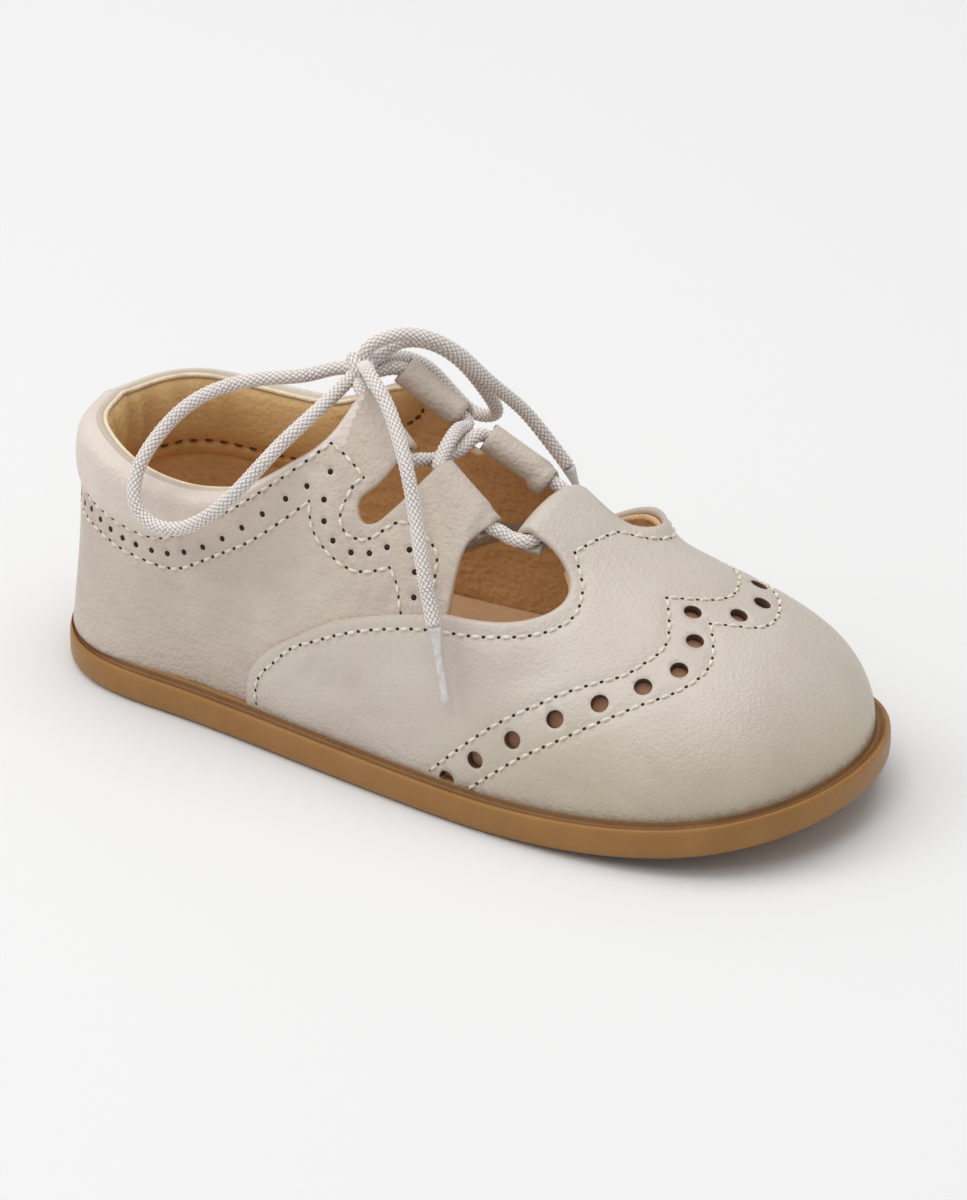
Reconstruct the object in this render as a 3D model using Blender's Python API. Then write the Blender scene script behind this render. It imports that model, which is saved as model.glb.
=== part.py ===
"""A toddler's right shoe: a wing-tip with five lace tunnels on a flat rubber sole.

The upper is cut as one flat pattern and laid over the last. A place on the pattern is two lengths: how far
it lies from the back of the heel along the edge of the sole, and how far over the last from its ridge.
Lengths in the tables are millimetres, with x measured from the heel of the foot towards the toe, y towards
the inner (medial) side and z up from the floor. The finished pieces are in metres, around the sole's middle.
"""

import math

import bmesh
import bpy
import numpy as np
from mathutils import Vector
from mathutils.geometry import delaunay_2d_cdt

MM = 0.001
LATERAL = -1
MEDIAL = 1

# Steps for slopes and for the tables of lengths, and how close counts as touching
STEP = 1e-4
TINY = 1e-9
TOUCHING = 1e-6
WELD = 1e-6
TOE_LIMIT = 0.998
T_TABLE = np.linspace(0, 1, 401)
W_TABLE = np.linspace(0, 1, 81)

# The last, from its heel back to its toe tip
HEEL_BACK = -2.0
LAST_LENGTH = 129.0
SOLE_THICKNESS = 5.3
TOE_SPRING = 5.5
SPRING_START = 76.0
SPRING_END = 127.0
MIDDLE = (63.5, -0.7, 0.0)

# Half widths of the sole's edge of the upper, at eleven even steps from heel to toe
HALF_WIDTHS = (
    # lateral, medial
    (0.0, 0.0),
    (10.9, 10.9),
    (17.9, 18.2),
    (19.6, 20.2),
    (21.8, 20.4),
    (24.6, 21.4),
    (26.6, 23.6),
    (26.2, 25.2),
    (22.2, 22.8),
    (12.9, 13.2),
    (0.0, 0.0),
)

# Sections across the last: the ridge's height and its shift to the medial side, then the fullness of the
# wall, its bulge over the sole's edge, and how flat the crown is on each side
SECTIONS = (
    # x, ridge, shift, wall, bulge, crown_lateral, crown_medial
    (-2.0, 78.0, 0.0, 0.50, 0.02, 0.80, 0.80),
    (20.0, 72.0, 0.0, 0.50, 0.03, 0.80, 0.80),
    (38.0, 62.5, 0.0, 0.50, 0.04, 0.76, 0.76),
    (52.0, 54.0, 0.0, 0.50, 0.05, 0.66, 0.66),
    (66.0, 46.3, 0.4, 0.50, 0.06, 0.60, 0.62),
    (80.0, 38.5, 1.8, 0.52, 0.06, 0.58, 0.66),
    (92.0, 32.9, 3.6, 0.55, 0.05, 0.58, 0.70),
    (106.0, 28.2, 4.2, 0.58, 0.04, 0.60, 0.70),
    (117.0, 23.1, 2.8, 0.60, 0.03, 0.64, 0.70),
    (124.0, 17.0, 1.3, 0.60, 0.02, 0.64, 0.68),
    (127.0, 10.8, 0.0, 0.60, 0.02, 0.64, 0.66),
)
# The heel's back leans in as it rises, less and less towards the waist
BACK_LEAN = 1.0
BACK_LEAN_FROM = 10.0
BACK_LEAN_OVER = 25.0
BACK_LEAN_LEAST = -0.45
BACK_LEAN_MOST = 2.0
BACK_LEAN_REACH = 0.45

# The collar line, as lengths up the wall from the sole
COLLAR = {
    # x, up
    LATERAL: (
        (-2.0, 33.6), (6.0, 33.0), (14.0, 31.0), (22.0, 30.0), (30.0, 31.4), (36.0, 34.2), (42.5, 39.4),
    ),
    MEDIAL: (
        (-2.0, 33.6), (6.0, 33.2), (14.0, 32.6), (22.0, 32.4), (30.0, 33.2), (36.0, 35.6), (42.5, 40.0),
    ),
}
COLLAR_END = (47.8, 15.5)

# The rest of the upper's top edge on either side, as lengths over the last from its middle line
TOP_TAB = ((49.8, 6.8), (58.0, 9.8))
SLOT = (
    (58.0, 9.8), (57.2, 13.6), (55.3, 18.0), (53.9, 22.2), (55.0, 23.7), (56.9, 22.8), (58.8, 20.0),
    (60.6, 16.2),
)
MID_TAB = ((63.4, 8.0), (72.8, 9.8))
FRONT_REAR = ((72.8, 9.8), (70.8, 15.2), (70.7, 20.5), (71.2, 26.3))
FRONT_LOW = (
    (71.2, 26.3), (79.5, 21.6), (84.2, 17.4), (86.4, 13.4), (86.3, 10.2), (84.2, 7.8), (81.2, 6.9),
)
CENTRE_TAB = (78.2, 7.2)

# The vamp's rear edge over the quarter, as lengths up the wall from the sole
VAMP_EDGE = ((37.8, 0.0), (38.0, 3.6), (41.2, 9.4), (45.9, 13.2), (53.4, 18.2), (61.9, 21.6))

# The wing's punched holes from the point of the W outwards, and the W's own middle and skew
WING_MIDDLE = -1.8
WING_SKEW = 1.0
WING_HOLES = (
    # x, across
    (101.5, 0.0),
    (104.9, 4.6),
    (106.2, 10.4),
    (103.2, 15.9),
    (98.4, 21.2),
    (92.7, 26.6),
    (86.8, 33.0),
    (81.0, 39.8),
)
HOLE_RADIUS = 1.25
HOLE_SIDES = 8

# Wall of the upper: vamp and quarter, the padded collar, and the tabs
VAMP_WALL = 2.4
VAMP_STEP = 0.7
STEP_RUN = 0.35
COLLAR_PAD = (
    # below the edge, outer face and inner face off the last
    (0.0, -2.3, -3.3),
    (1.2, -1.2, -3.9),
    (3.0, -0.3, -3.3),
    (6.0, 0.1, -2.9),
    (9.0, -0.2, -2.9),
    (12.0, -0.7, -2.4),
)
COLLAR_FADE = 8.0
PAD_LINES_END = 4.0
TAB_WALL = 1.0
TAB_LIFT = 1.2
TAB_REACH = 9.0
TUNNEL_TURN = math.radians(290)
TUNNEL_STEPS = 10

# How finely the pattern is cut: along its edges, over its middle, and clear of its lines
COLLAR_SPACING = 3.0
EDGE_SPACING = 2.3
SOLE_EDGE_STEPS = 52
SEAM_STEPS = 5
PATTERN_SPACING = 5.2
CLEAR_SHARE = 0.55
OUTSIDE = 20.0
SHARP_ANGLE = math.radians(40)

# Sole and insole
FLANGE_HEEL = 0.4
FLANGE_SIDE = 2.3
FLANGE_FROM = 0.30
EDGE_ROUND = 0.7
SEAT_GAP = 0.3
INSOLE_THICKNESS = 2.0
SOLE_STEPS = 73
INSOLE_STEPS = 49

# The lace: a round braid, its tunnels' clearance, and its knot
LACE_RADIUS = 1.2
LACE_CLEARANCE = 0.42
CROSSING_RISE = 1.6
EXIT_SIDE = 1.6
EXIT_CROSSING = 2.2
EXIT_FRONT = 1.4
EXIT_CENTRE = 1.2
CROSSING_SPACING = 2.0
CORD_SPACING = 6.0
AGLET_RADIUS = 0.7
KNOT = (44.8, 0.0, 53.2)
KNOT_HALF = (2.6, 2.3, 2.2)
KNOT_SEGMENTS = 16
KNOT_RINGS = 10

LOOP_LATERAL = (
    (42.4, -1.6, 53.3), (38.6, -4.4, 52.4), (34.0, -6.9, 51.8), (29.2, -9.0, 50.6), (23.0, -12.4, 47.0),
    (19.8, -16.6, 42.4), (19.0, -20.8, 37.8), (20.2, -22.6, 34.2), (22.8, -23.1, 32.3), (26.9, -23.3, 32.4),
    (32.2, -23.2, 35.4), (38.0, -21.9, 41.6), (41.4, -17.0, 46.9), (43.8, -10.4, 50.4), (44.65, -2.9, 52.5),
)
LOOP_MEDIAL = (
    (45.9, 2.4, 54.0), (47.6, 6.6, 55.3), (51.4, 10.0, 54.4), (54.1, 12.4, 51.6), (55.5, 15.9, 46.8),
    (56.0, 19.0, 42.4), (54.8, 21.4, 39.2), (51.2, 22.2, 38.0), (47.6, 21.4, 40.8), (45.2, 18.4, 45.6),
    (43.6, 12.4, 49.6), (43.9, 3.0, 52.4),
)
END_LATERAL = (
    (46.6, -1.75, 54.4), (50.3, -6.4, 56.2), (54.6, -9.4, 54.6), (58.4, -12.2, 51.5), (61.9, -15.2, 47.6),
    (65.0, -18.0, 42.2), (68.0, -20.9, 36.2), (71.6, -23.9, 28.8),
)
AGLET_LATERAL = ((71.72, -24.02, 28.5), (73.7, -25.7, 23.8), (75.7, -27.3, 18.6))
END_MEDIAL = (
    (45.8, 0.4, 56.4), (47.6, 2.0, 57.8), (50.0, 4.0, 58.3), (53.2, 6.2, 57.4), (56.0, 8.8, 54.8),
    (58.0, 12.6, 50.0), (59.4, 17.2, 45.1), (60.6, 20.6, 41.2), (62.4, 22.6, 37.4), (65.6, 24.3, 32.2),
)
AGLET_MEDIAL = ((65.75, 24.4, 31.8), (67.4, 25.3, 26.8), (68.8, 25.9, 21.4))


def spline(knots, values, at):
    """Natural cubic spline through the knots, read at any places."""
    knots = np.asarray(knots, float)
    values = np.asarray(values, float)
    at = np.asarray(at, float)
    count = len(knots)
    step = np.diff(knots)
    matrix = np.eye(count)
    right = np.zeros(values.shape)
    for i in range(1, count - 1):
        matrix[i, i - 1 : i + 2] = step[i - 1], 2 * (step[i - 1] + step[i]), step[i]
        right[i] = 6 * ((values[i + 1] - values[i]) / step[i] - (values[i] - values[i - 1]) / step[i - 1])
    bend = np.linalg.solve(matrix, right)
    i = np.clip(np.searchsorted(knots, at) - 1, 0, count - 2)
    width = step[i]
    before = at - knots[i]
    after = knots[i + 1] - at
    if values.ndim == 2:
        width, before, after = width[:, None], before[:, None], after[:, None]
    curve = (bend[i] * after**3 + bend[i + 1] * before**3) / (6 * width)
    return (
        curve
        + (values[i] / width - bend[i] * width / 6) * after
        + (values[i + 1] / width - bend[i + 1] * width / 6) * before
    )


def smooth_run(rows, spacing):
    """A smooth curve through the rows, read at even spacing."""
    rows = np.asarray(rows, float)
    along = np.concatenate([[0], np.cumsum(np.linalg.norm(np.diff(rows, axis=0), axis=1))])
    count = max(2, int(round(along[-1] / spacing)) + 1)
    return spline(along, rows, np.linspace(0, along[-1], count))


def last_x(t):
    return HEEL_BACK + LAST_LENGTH * (1 - np.cos(np.pi * np.asarray(t))) / 2


def last_t(x):
    return np.arccos(np.clip(1 - 2 * (np.asarray(x) - HEEL_BACK) / LAST_LENGTH, -1, 1)) / np.pi


WIDTH_STEPS = np.linspace(0, 1, len(HALF_WIDTHS))
SECTION_STEPS = last_t(np.array([row[0] for row in SECTIONS]))


def section_column(column, t):
    return spline(SECTION_STEPS, [row[column] for row in SECTIONS], t)


def half_width(t, side):
    lateral = spline(WIDTH_STEPS, [row[0] for row in HALF_WIDTHS], t)
    medial = spline(WIDTH_STEPS, [row[1] for row in HALF_WIDTHS], t)
    return np.where(np.asarray(side) < 0, lateral, medial)


def ground(x):
    """Height of the sole's underside: flat from heel to ball, then the toe spring."""
    return TOE_SPRING * np.clip((np.asarray(x) - SPRING_START) / (SPRING_END - SPRING_START), 0, None) ** 2


def last(t, w, side):
    """A point of the last: t from heel to toe, w from the sole's edge (0) to the ridge (1).

    Each section is a cubic curve that stands up from the sole's edge and lies flat at the ridge.
    """
    t, w, side = np.broadcast_arrays(np.asarray(t, float), np.asarray(w, float), np.asarray(side, float))
    width = half_width(t, side)
    x = last_x(t)
    foot = SOLE_THICKNESS + ground(x)
    ridge = np.maximum(section_column(1, t), foot)
    shift = section_column(2, t)
    wall = section_column(3, t)
    bulge = section_column(4, t)
    crown = np.where(side < 0, section_column(5, t), section_column(6, t))
    weights = ((1 - w) ** 3, 3 * w * (1 - w) ** 2, 3 * w**2 * (1 - w), w**3)
    y = side * width * (weights[0] + weights[1] * (1 + bulge))
    y = y + weights[2] * (shift + side * crown * (width - side * shift)) + weights[3] * shift
    z = foot + (ridge - foot) * (weights[1] * wall + weights[2] + weights[3])
    lean = BACK_LEAN * np.clip((z - BACK_LEAN_FROM) / BACK_LEAN_OVER, BACK_LEAN_LEAST, BACK_LEAN_MOST)
    x = x + lean * np.clip(1 - t / BACK_LEAN_REACH, 0, 1) ** 2
    return np.stack([x, y, z], -1)


def last_normal(t, w, side):
    """The last's outward direction."""
    t = np.clip(t, 0, TOE_LIMIT)
    along = last(t + STEP, w, side) - last(t, w, side)
    up = last(t, np.clip(w + STEP, 0, 1), side) - last(t, np.clip(w - STEP, 0, 1), side)
    normal = np.cross(along, up) * -np.asarray(side, float)[..., None]
    normal[..., 1] = np.where(t < TINY, 0, normal[..., 1])
    return normal / np.linalg.norm(normal, axis=-1, keepdims=True)


def edge_length(side):
    edge = last(T_TABLE, 0.0, side)
    return np.concatenate([[0], np.cumsum(np.linalg.norm(np.diff(edge, axis=0), axis=1))])


P_TABLE = (edge_length(LATERAL) + edge_length(MEDIAL)) / 2


def section_lengths(t, side):
    """Lengths up each section from the sole's edge, one row for each t."""
    t = np.asarray(t, float)
    points = last(t[:, None], W_TABLE[None, :], np.asarray(side, float)[:, None])
    steps = np.linalg.norm(np.diff(points, axis=1), axis=2)
    return np.concatenate([np.zeros((len(t), 1)), np.cumsum(steps, axis=1)], axis=1)


def girth(t, side):
    t = np.atleast_1d(t)
    return section_lengths(t, np.full(len(t), side))[:, -1]


def pattern_from_up(rows, side):
    """Pattern places of rows of x and length up the wall."""
    rows = np.asarray(rows, float)
    t = last_t(rows[:, 0])
    return np.stack([np.interp(t, T_TABLE, P_TABLE), side * (girth(t, side) - rows[:, 1])], 1)


def pattern_from_middle(rows, side):
    """Pattern places of rows of x and length over the last from the middle line."""
    rows = np.asarray(rows, float)
    t = last_t(rows[:, 0])
    return np.stack([np.interp(t, T_TABLE, P_TABLE), side * rows[:, 1] - section_column(2, t)], 1)


def pattern_to_last(pattern):
    """The last's own t, w and side under pattern places."""
    t = np.interp(pattern[:, 0], P_TABLE, T_TABLE)
    side = np.where(pattern[:, 1] < 0, -1.0, 1.0)
    lengths = section_lengths(t, side)
    up = np.clip(lengths[:, -1] - np.abs(pattern[:, 1]), 0, lengths[:, -1])
    column = np.clip((lengths <= up[:, None]).sum(1) - 1, 0, len(W_TABLE) - 2)
    row = np.arange(len(t))
    low = lengths[row, column]
    span = np.maximum(lengths[row, column + 1] - low, TINY)
    w = W_TABLE[column] + (up - low) / span * W_TABLE[1]
    return t, np.clip(w, 0, 1), side


def inside(points, outline):
    """Which points lie inside a closed outline."""
    start = outline
    end = np.roll(outline, -1, axis=0)
    px = points[:, 0][:, None]
    py = points[:, 1][:, None]
    crosses = (start[:, 1] > py) != (end[:, 1] > py)
    rise = np.where(end[:, 1] == start[:, 1], TINY, end[:, 1] - start[:, 1])
    where = start[:, 0] + (py - start[:, 1]) / rise * (end[:, 0] - start[:, 0])
    return (crosses & (px < where)).sum(1) % 2 == 1


def distance_to_run(points, run):
    """Distance from each point to a line of short straight pieces."""
    a = run[:-1][None]
    d = run[1:][None] - a
    q = points[:, None] - a
    along = np.clip((q * d).sum(2) / np.maximum((d * d).sum(2), TINY), 0, 1)
    return np.linalg.norm(q - along[..., None] * d, axis=2).min(1)


def top_edge(side):
    """The upper's top edge on one side, from the heel's back to the centre tab, and its two tab folds."""
    collar_rows = pattern_from_up(COLLAR[side], side)
    to_tab = pattern_from_middle((COLLAR_END, TOP_TAB[0]), side)
    collar = smooth_run(np.vstack([collar_rows, to_tab]), COLLAR_SPACING)
    top = smooth_run(pattern_from_middle(TOP_TAB, side), EDGE_SPACING)
    slot = smooth_run(pattern_from_middle(SLOT + (MID_TAB[0],), side), EDGE_SPACING)
    mid = smooth_run(pattern_from_middle(MID_TAB, side), EDGE_SPACING)
    rear = smooth_run(pattern_from_middle(FRONT_REAR, side), EDGE_SPACING)
    low = smooth_run(pattern_from_middle(FRONT_LOW + (CENTRE_TAB,), side), EDGE_SPACING)
    return {"collar": collar, "top": top, "slot": slot, "mid": mid, "rear": rear, "low": low}


RUNS = ("collar", "top", "slot", "mid", "rear", "low")
EDGES = {side: top_edge(side) for side in (LATERAL, MEDIAL)}
CENTRE_FOLD = smooth_run([EDGES[LATERAL]["low"][-1], EDGES[MEDIAL]["low"][-1]], EDGE_SPACING)
FOLDS = {
    "top_lateral": EDGES[LATERAL]["top"],
    "mid_lateral": EDGES[LATERAL]["mid"],
    "top_medial": EDGES[MEDIAL]["top"],
    "mid_medial": EDGES[MEDIAL]["mid"],
    "centre": CENTRE_FOLD,
}


def sole_edge(side):
    """The upper's edge along the sole, heel to toe."""
    p = np.linspace(0, P_TABLE[-1], SOLE_EDGE_STEPS)
    t = np.interp(p, P_TABLE, T_TABLE)
    return np.stack([p, side * girth(t, side)], 1)


def heel_seam():
    """Lengths from the ridge down the middle of the heel's back, collar to sole."""
    top = abs(EDGES[LATERAL]["collar"][0, 1])
    padded = [top + row[0] for row in COLLAR_PAD]
    return np.concatenate([padded, np.linspace(padded[-1], girth(0.0, LATERAL)[0], SEAM_STEPS)[1:]])


def collar_pad_lines():
    """Lines along the collar at the heights where its padding is given."""
    lines = []
    for side in (LATERAL, MEDIAL):
        collar = EDGES[side]["collar"]
        padded = collar[collar[:, 0] < collar[-1, 0] - PAD_LINES_END]
        lines += [padded + [[0, side * row[0]]] for row in COLLAR_PAD[1:]]
    return lines


def upper_outline():
    """The whole pattern's outline, counter-clockwise, with no place named twice."""
    lateral = [EDGES[LATERAL][name] for name in RUNS]
    medial = [EDGES[MEDIAL][name] for name in RUNS]
    seam = heel_seam()
    medial_seam = np.stack([np.zeros(len(seam)), seam], 1)
    lateral_seam = np.stack([np.zeros(len(seam)), -seam], 1)
    runs = [sole_edge(LATERAL), sole_edge(MEDIAL)[::-1], medial_seam[::-1], *medial]
    runs += [CENTRE_FOLD[::-1], *[run[::-1] for run in lateral[::-1]], lateral_seam]
    return np.vstack([run[:-1] for run in runs])


def wing_holes():
    """Outlines of the wing's punched holes in the pattern."""
    turn = np.arange(HOLE_SIDES) * 2 * np.pi / HOLE_SIDES
    circle = HOLE_RADIUS * np.stack([np.cos(turn), np.sin(turn)], 1)
    holes = []
    for side in (LATERAL, MEDIAL):
        for x, across in WING_HOLES:
            if across == 0 and side == MEDIAL:
                continue
            skew = WING_SKEW * side * min(across / WING_HOLES[1][1], 1)
            row = ((x + skew, across + side * WING_MIDDLE),)
            holes.append(pattern_from_middle(row, side)[0] + circle)
    return holes


def vamp_outline():
    """The vamp's part of the pattern, closed far outside the upper's own outline."""
    runs = {}
    for side in (LATERAL, MEDIAL):
        corner = EDGES[side]["low"][:1]
        runs[side] = smooth_run(np.vstack([pattern_from_up(VAMP_EDGE, side), corner]), EDGE_SPACING)
    far_p = P_TABLE[-1] + OUTSIDE
    far_v = girth(0.0, LATERAL)[0] + OUTSIDE
    tip = np.array([[far_p, far_v], [far_p, -far_v]])
    low_lateral = runs[LATERAL][:1] - [[0, OUTSIDE]]
    low_medial = runs[MEDIAL][:1] + [[0, OUTSIDE]]
    outline = np.vstack([low_lateral, runs[LATERAL], runs[MEDIAL][::-1], low_medial, tip])
    return outline, runs


VAMP, VAMP_RUNS = vamp_outline()


def wall_offsets(pattern):
    """How far the upper's outer and inner faces stand off the last.

    The vamp lies on the last's own surface and the quarter one leather's thickness lower. The collar is
    padded, and the tabs thin out and lift towards their folds, where the lace runs under them.
    """
    on_vamp = inside(pattern, VAMP)
    from_edge = np.minimum(*[distance_to_run(pattern, run) for run in VAMP_RUNS.values()])
    on_edge = from_edge < TOUCHING
    outer = np.where(on_vamp | on_edge, 0.0, -VAMP_STEP)
    inner = np.full(len(pattern), -VAMP_WALL)
    pad = np.array(COLLAR_PAD)
    for side in (LATERAL, MEDIAL):
        collar = EDGES[side]["collar"]
        below = np.abs(pattern[:, 1]) - np.interp(pattern[:, 0], collar[:, 0], np.abs(collar[:, 1]))
        share = np.clip((collar[-1, 0] - pattern[:, 0]) / COLLAR_FADE, 0, 1)
        share = share * ((np.sign(pattern[:, 1]) == side) & (below < pad[-1, 0]))
        outer = outer + share * (np.interp(below, pad[:, 0], pad[:, 1]) - outer)
        inner = inner + share * (np.interp(below, pad[:, 0], pad[:, 2]) - inner)
    near = np.min([distance_to_run(pattern, fold) for fold in FOLDS.values()], axis=0)
    ease = np.clip(1 - near / TAB_REACH, 0, 1)
    ease = ease**2 * (3 - 2 * ease)
    outer = outer + TAB_LIFT * ease
    inner = inner + (outer - TAB_WALL - inner) * ease
    return outer, inner


def tunnel_frame(name):
    """A tab's fold in space: its middle points, its outward direction and the way its leather runs on."""
    fold = FOLDS[name]
    outer, inner = wall_offsets(fold)
    t, w, side = pattern_to_last(fold)
    normal = last_normal(t, w, side)
    middle = last(t, w, side) + normal * ((outer + inner) / 2)[:, None]
    up = normal.mean(0)
    up = up / np.linalg.norm(up)
    line = middle[-1] - middle[0]
    onward = np.cross(up, line / np.linalg.norm(line))
    onward = onward / np.linalg.norm(onward)
    throat = np.array([-1.0, 0, 0]) if name == "centre" else np.array([0, -np.sign(fold[0, 1]), 0])
    return middle, up, onward * np.sign(onward @ throat)


TUNNEL_RADIUS = LACE_RADIUS + LACE_CLEARANCE + TAB_WALL / 2


def tunnel_axis(name):
    middle, up, _ = tunnel_frame(name)
    return middle - up * TUNNEL_RADIUS


def make_material(name, colour, roughness):
    material = bpy.data.materials.new(name)
    material.use_nodes = True
    shader = material.node_tree.nodes["Principled BSDF"]
    shader.inputs["Base Color"].default_value = (*colour, 1)
    shader.inputs["Roughness"].default_value = roughness
    shader.inputs["Metallic"].default_value = 0.0
    return material


def add_object(name, data, material):
    data.materials.append(material)
    thing = bpy.data.objects.new(name, data)
    bpy.context.scene.collection.objects.link(thing)
    return thing


def to_metres(points):
    return (np.asarray(points, float) - MIDDLE) * MM


def add_mesh(name, points, faces, material):
    """One closed mesh, welded where its seams meet."""
    mesh = bpy.data.meshes.new(name)
    mesh.from_pydata(to_metres(points).tolist(), [], [list(map(int, face)) for face in faces])
    solid = bmesh.new()
    solid.from_mesh(mesh)
    bmesh.ops.remove_doubles(solid, verts=solid.verts, dist=WELD)
    bmesh.ops.dissolve_degenerate(solid, edges=solid.edges, dist=WELD / 10)
    bmesh.ops.triangulate(solid, faces=solid.faces)
    solid.to_mesh(mesh)
    solid.free()
    mesh.shade_smooth()
    mesh.set_sharp_from_angle(angle=SHARP_ANGLE)
    return add_object(name, mesh, material)


def pattern_mesh(outline, holes, lines, spacing):
    """Triangles over the pattern: its outline and holes, lines they must follow, and points between."""
    rings = [outline, *holes]
    places = list(rings)
    edges = []
    start = 0
    for ring in rings:
        count = len(ring)
        edges += [(start + i, start + (i + 1) % count) for i in range(count)]
        start += count
    for line in lines:
        places.append(line)
        edges += [(start + i, start + i + 1) for i in range(len(line) - 1)]
        start += len(line)
    low = outline.min(0)
    high = outline.max(0)
    row_step = spacing * math.sqrt(3) / 2
    columns, rows = np.meshgrid(np.arange(low[0], high[0], spacing), np.arange(low[1], high[1], row_step))
    columns = columns + (np.arange(len(columns))[:, None] % 2) * spacing / 2
    grid = np.stack([columns.ravel(), rows.ravel()], 1)
    grid = grid[inside(grid, outline)]
    closed = [np.vstack([ring, ring[:1]]) for ring in rings]
    clear = np.min([distance_to_run(grid, ring) for ring in closed + list(lines)], axis=0)
    places.append(grid[clear > spacing * CLEAR_SHARE])
    flat = np.vstack(places)
    result = delaunay_2d_cdt([Vector(place) for place in flat], edges, [], 0, TOUCHING)
    flat = np.array([tuple(place) for place in result[0]])
    faces = np.array(result[2])
    a, b, c = flat[faces[:, 0]], flat[faces[:, 1]], flat[faces[:, 2]]
    ab, ac = b - a, c - a
    turned = ab[:, 0] * ac[:, 1] - ab[:, 1] * ac[:, 0] < 0
    faces[turned] = faces[turned][:, ::-1]
    centre = (a + b + c) / 3
    keep = inside(centre, outline)
    for hole in holes:
        keep &= ~inside(centre, hole)
    return flat, faces[keep]


def find_places(flat, wanted):
    """Numbers of the places that lie on the wanted ones."""
    return np.array([int(np.argmin(((flat - place) ** 2).sum(1))) for place in wanted])


def make_upper(material):
    """The upper as one hollow wall: two faces off the last, rims round every edge, and five rolled tabs."""
    lines = collar_pad_lines()
    for run in VAMP_RUNS.values():
        behind = run[1:-1] - [[STEP_RUN, 0]]
        lines += [run[1:-1], behind]
    flat, faces = pattern_mesh(upper_outline(), wing_holes(), lines, PATTERN_SPACING)
    outer, inner = wall_offsets(flat)
    t, w, side = pattern_to_last(flat)
    base = last(t, w, side)
    normal = last_normal(t, w, side)
    points = [base + normal * outer[:, None], base + normal * inner[:, None]]
    count = len(flat)
    solid = [tuple(face) for face in faces] + [tuple(face[::-1] + count) for face in faces]
    pairs = np.concatenate([faces[:, [0, 1]], faces[:, [1, 2]], faces[:, [2, 0]]])
    known = {(int(a), int(b)) for a, b in pairs}
    folded = set()
    extra = 2 * count
    for name, fold in FOLDS.items():
        line = find_places(flat, fold)
        if (int(line[0]), int(line[1])) not in known:
            line = line[::-1]
        folded |= {(int(a), int(b)) for a, b in zip(line[:-1], line[1:])}
        strip_points, strip_faces = rolled_tab(name, base[line], line, count, extra)
        points.append(strip_points)
        solid += strip_faces
        extra += len(strip_points)
    seam = np.abs(flat[:, 0]) < TOUCHING
    for a, b in sorted(known):
        if (b, a) in known or (a, b) in folded or (seam[a] and seam[b]):
            continue
        solid.append((b, a, a + count, b + count))
    return add_mesh("upper", np.vstack(points), solid, material)


def rolled_tab(name, fold_points, line, count, start):
    """The end of a tab rolled back under itself, round the lace."""
    middle, up, onward = tunnel_frame(name)
    if np.linalg.norm(fold_points[0] - middle[0]) > np.linalg.norm(fold_points[0] - middle[-1]):
        middle = middle[::-1]
    centre = middle - up * TUNNEL_RADIUS
    turn = np.linspace(0, TUNNEL_TURN, TUNNEL_STEPS + 1)[1:]
    spoke = np.cos(turn)[:, None] * up + np.sin(turn)[:, None] * onward
    size = len(line)
    radii = (TUNNEL_RADIUS + TAB_WALL / 2, TUNNEL_RADIUS - TAB_WALL / 2)
    shells = [centre[None] + spoke[:, None] * radius for radius in radii]
    points = np.vstack([shell.reshape(-1, 3) for shell in shells])
    steps = np.arange(TUNNEL_STEPS * size).reshape(TUNNEL_STEPS, size)
    outer = np.vstack([line, start + steps])
    inner = np.vstack([line + count, start + TUNNEL_STEPS * size + steps])
    faces = []
    for j in range(TUNNEL_STEPS):
        for i in range(size - 1):
            faces.append((outer[j, i + 1], outer[j, i], outer[j + 1, i], outer[j + 1, i + 1]))
            faces.append((inner[j, i], inner[j, i + 1], inner[j + 1, i + 1], inner[j + 1, i]))
        faces.append((outer[j + 1, 0], outer[j, 0], inner[j, 0], inner[j + 1, 0]))
        faces.append((outer[j, -1], outer[j + 1, -1], inner[j + 1, -1], inner[j, -1]))
    for i in range(size - 1):
        faces.append((outer[-1, i + 1], outer[-1, i], inner[-1, i], inner[-1, i + 1]))
    return points, faces


def plan_ring(grow, t):
    """The sole's edge of the upper seen from above, grown outwards by a length for each t."""
    rings = []
    for side in (LATERAL, MEDIAL):
        edge = last(t, 0.0, side)[:, :2]
        ahead = last(np.clip(t + STEP, 0, 1), 0.0, side)[:, :2]
        behind = last(np.clip(t - STEP, 0, 1), 0.0, side)[:, :2]
        run = ahead - behind
        run = run / np.linalg.norm(run, axis=1, keepdims=True)
        out = np.stack([run[:, 1], -run[:, 0]], 1) * -side
        out[0] = (-1, 0)
        out[-1] = (1, 0)
        rings.append(edge + out * np.broadcast_to(grow, t.shape)[:, None])
    return rings


def slab(name, t, rings, material):
    """A flat closed piece from rings of the same plan, bottom to top, capped across at each t."""
    points = []
    for lateral, medial, heights in rings:
        for row, z in ((lateral, heights[0]), (medial, heights[1])):
            points.append(np.column_stack([row, z]))
    count = len(t)
    faces = []
    for level in range(len(rings) - 1):
        low = 2 * level * count
        high = low + 2 * count
        for i in range(count - 1):
            faces.append((low + i, low + i + 1, high + i + 1, high + i))
            a = low + count + i
            b = high + count + i
            faces.append((a + 1, a, b, b + 1))
    top = 2 * (len(rings) - 1) * count
    for i in range(count - 1):
        faces.append((i + 1, i, count + i, count + i + 1))
        faces.append((top + i, top + i + 1, top + count + i + 1, top + count + i))
    return add_mesh(name, np.vstack(points), faces, material)


def flange(t):
    ease = np.clip(t / FLANGE_FROM, 0, 1)
    return FLANGE_HEEL + (FLANGE_SIDE - FLANGE_HEEL) * ease**2 * (3 - 2 * ease)


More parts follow.
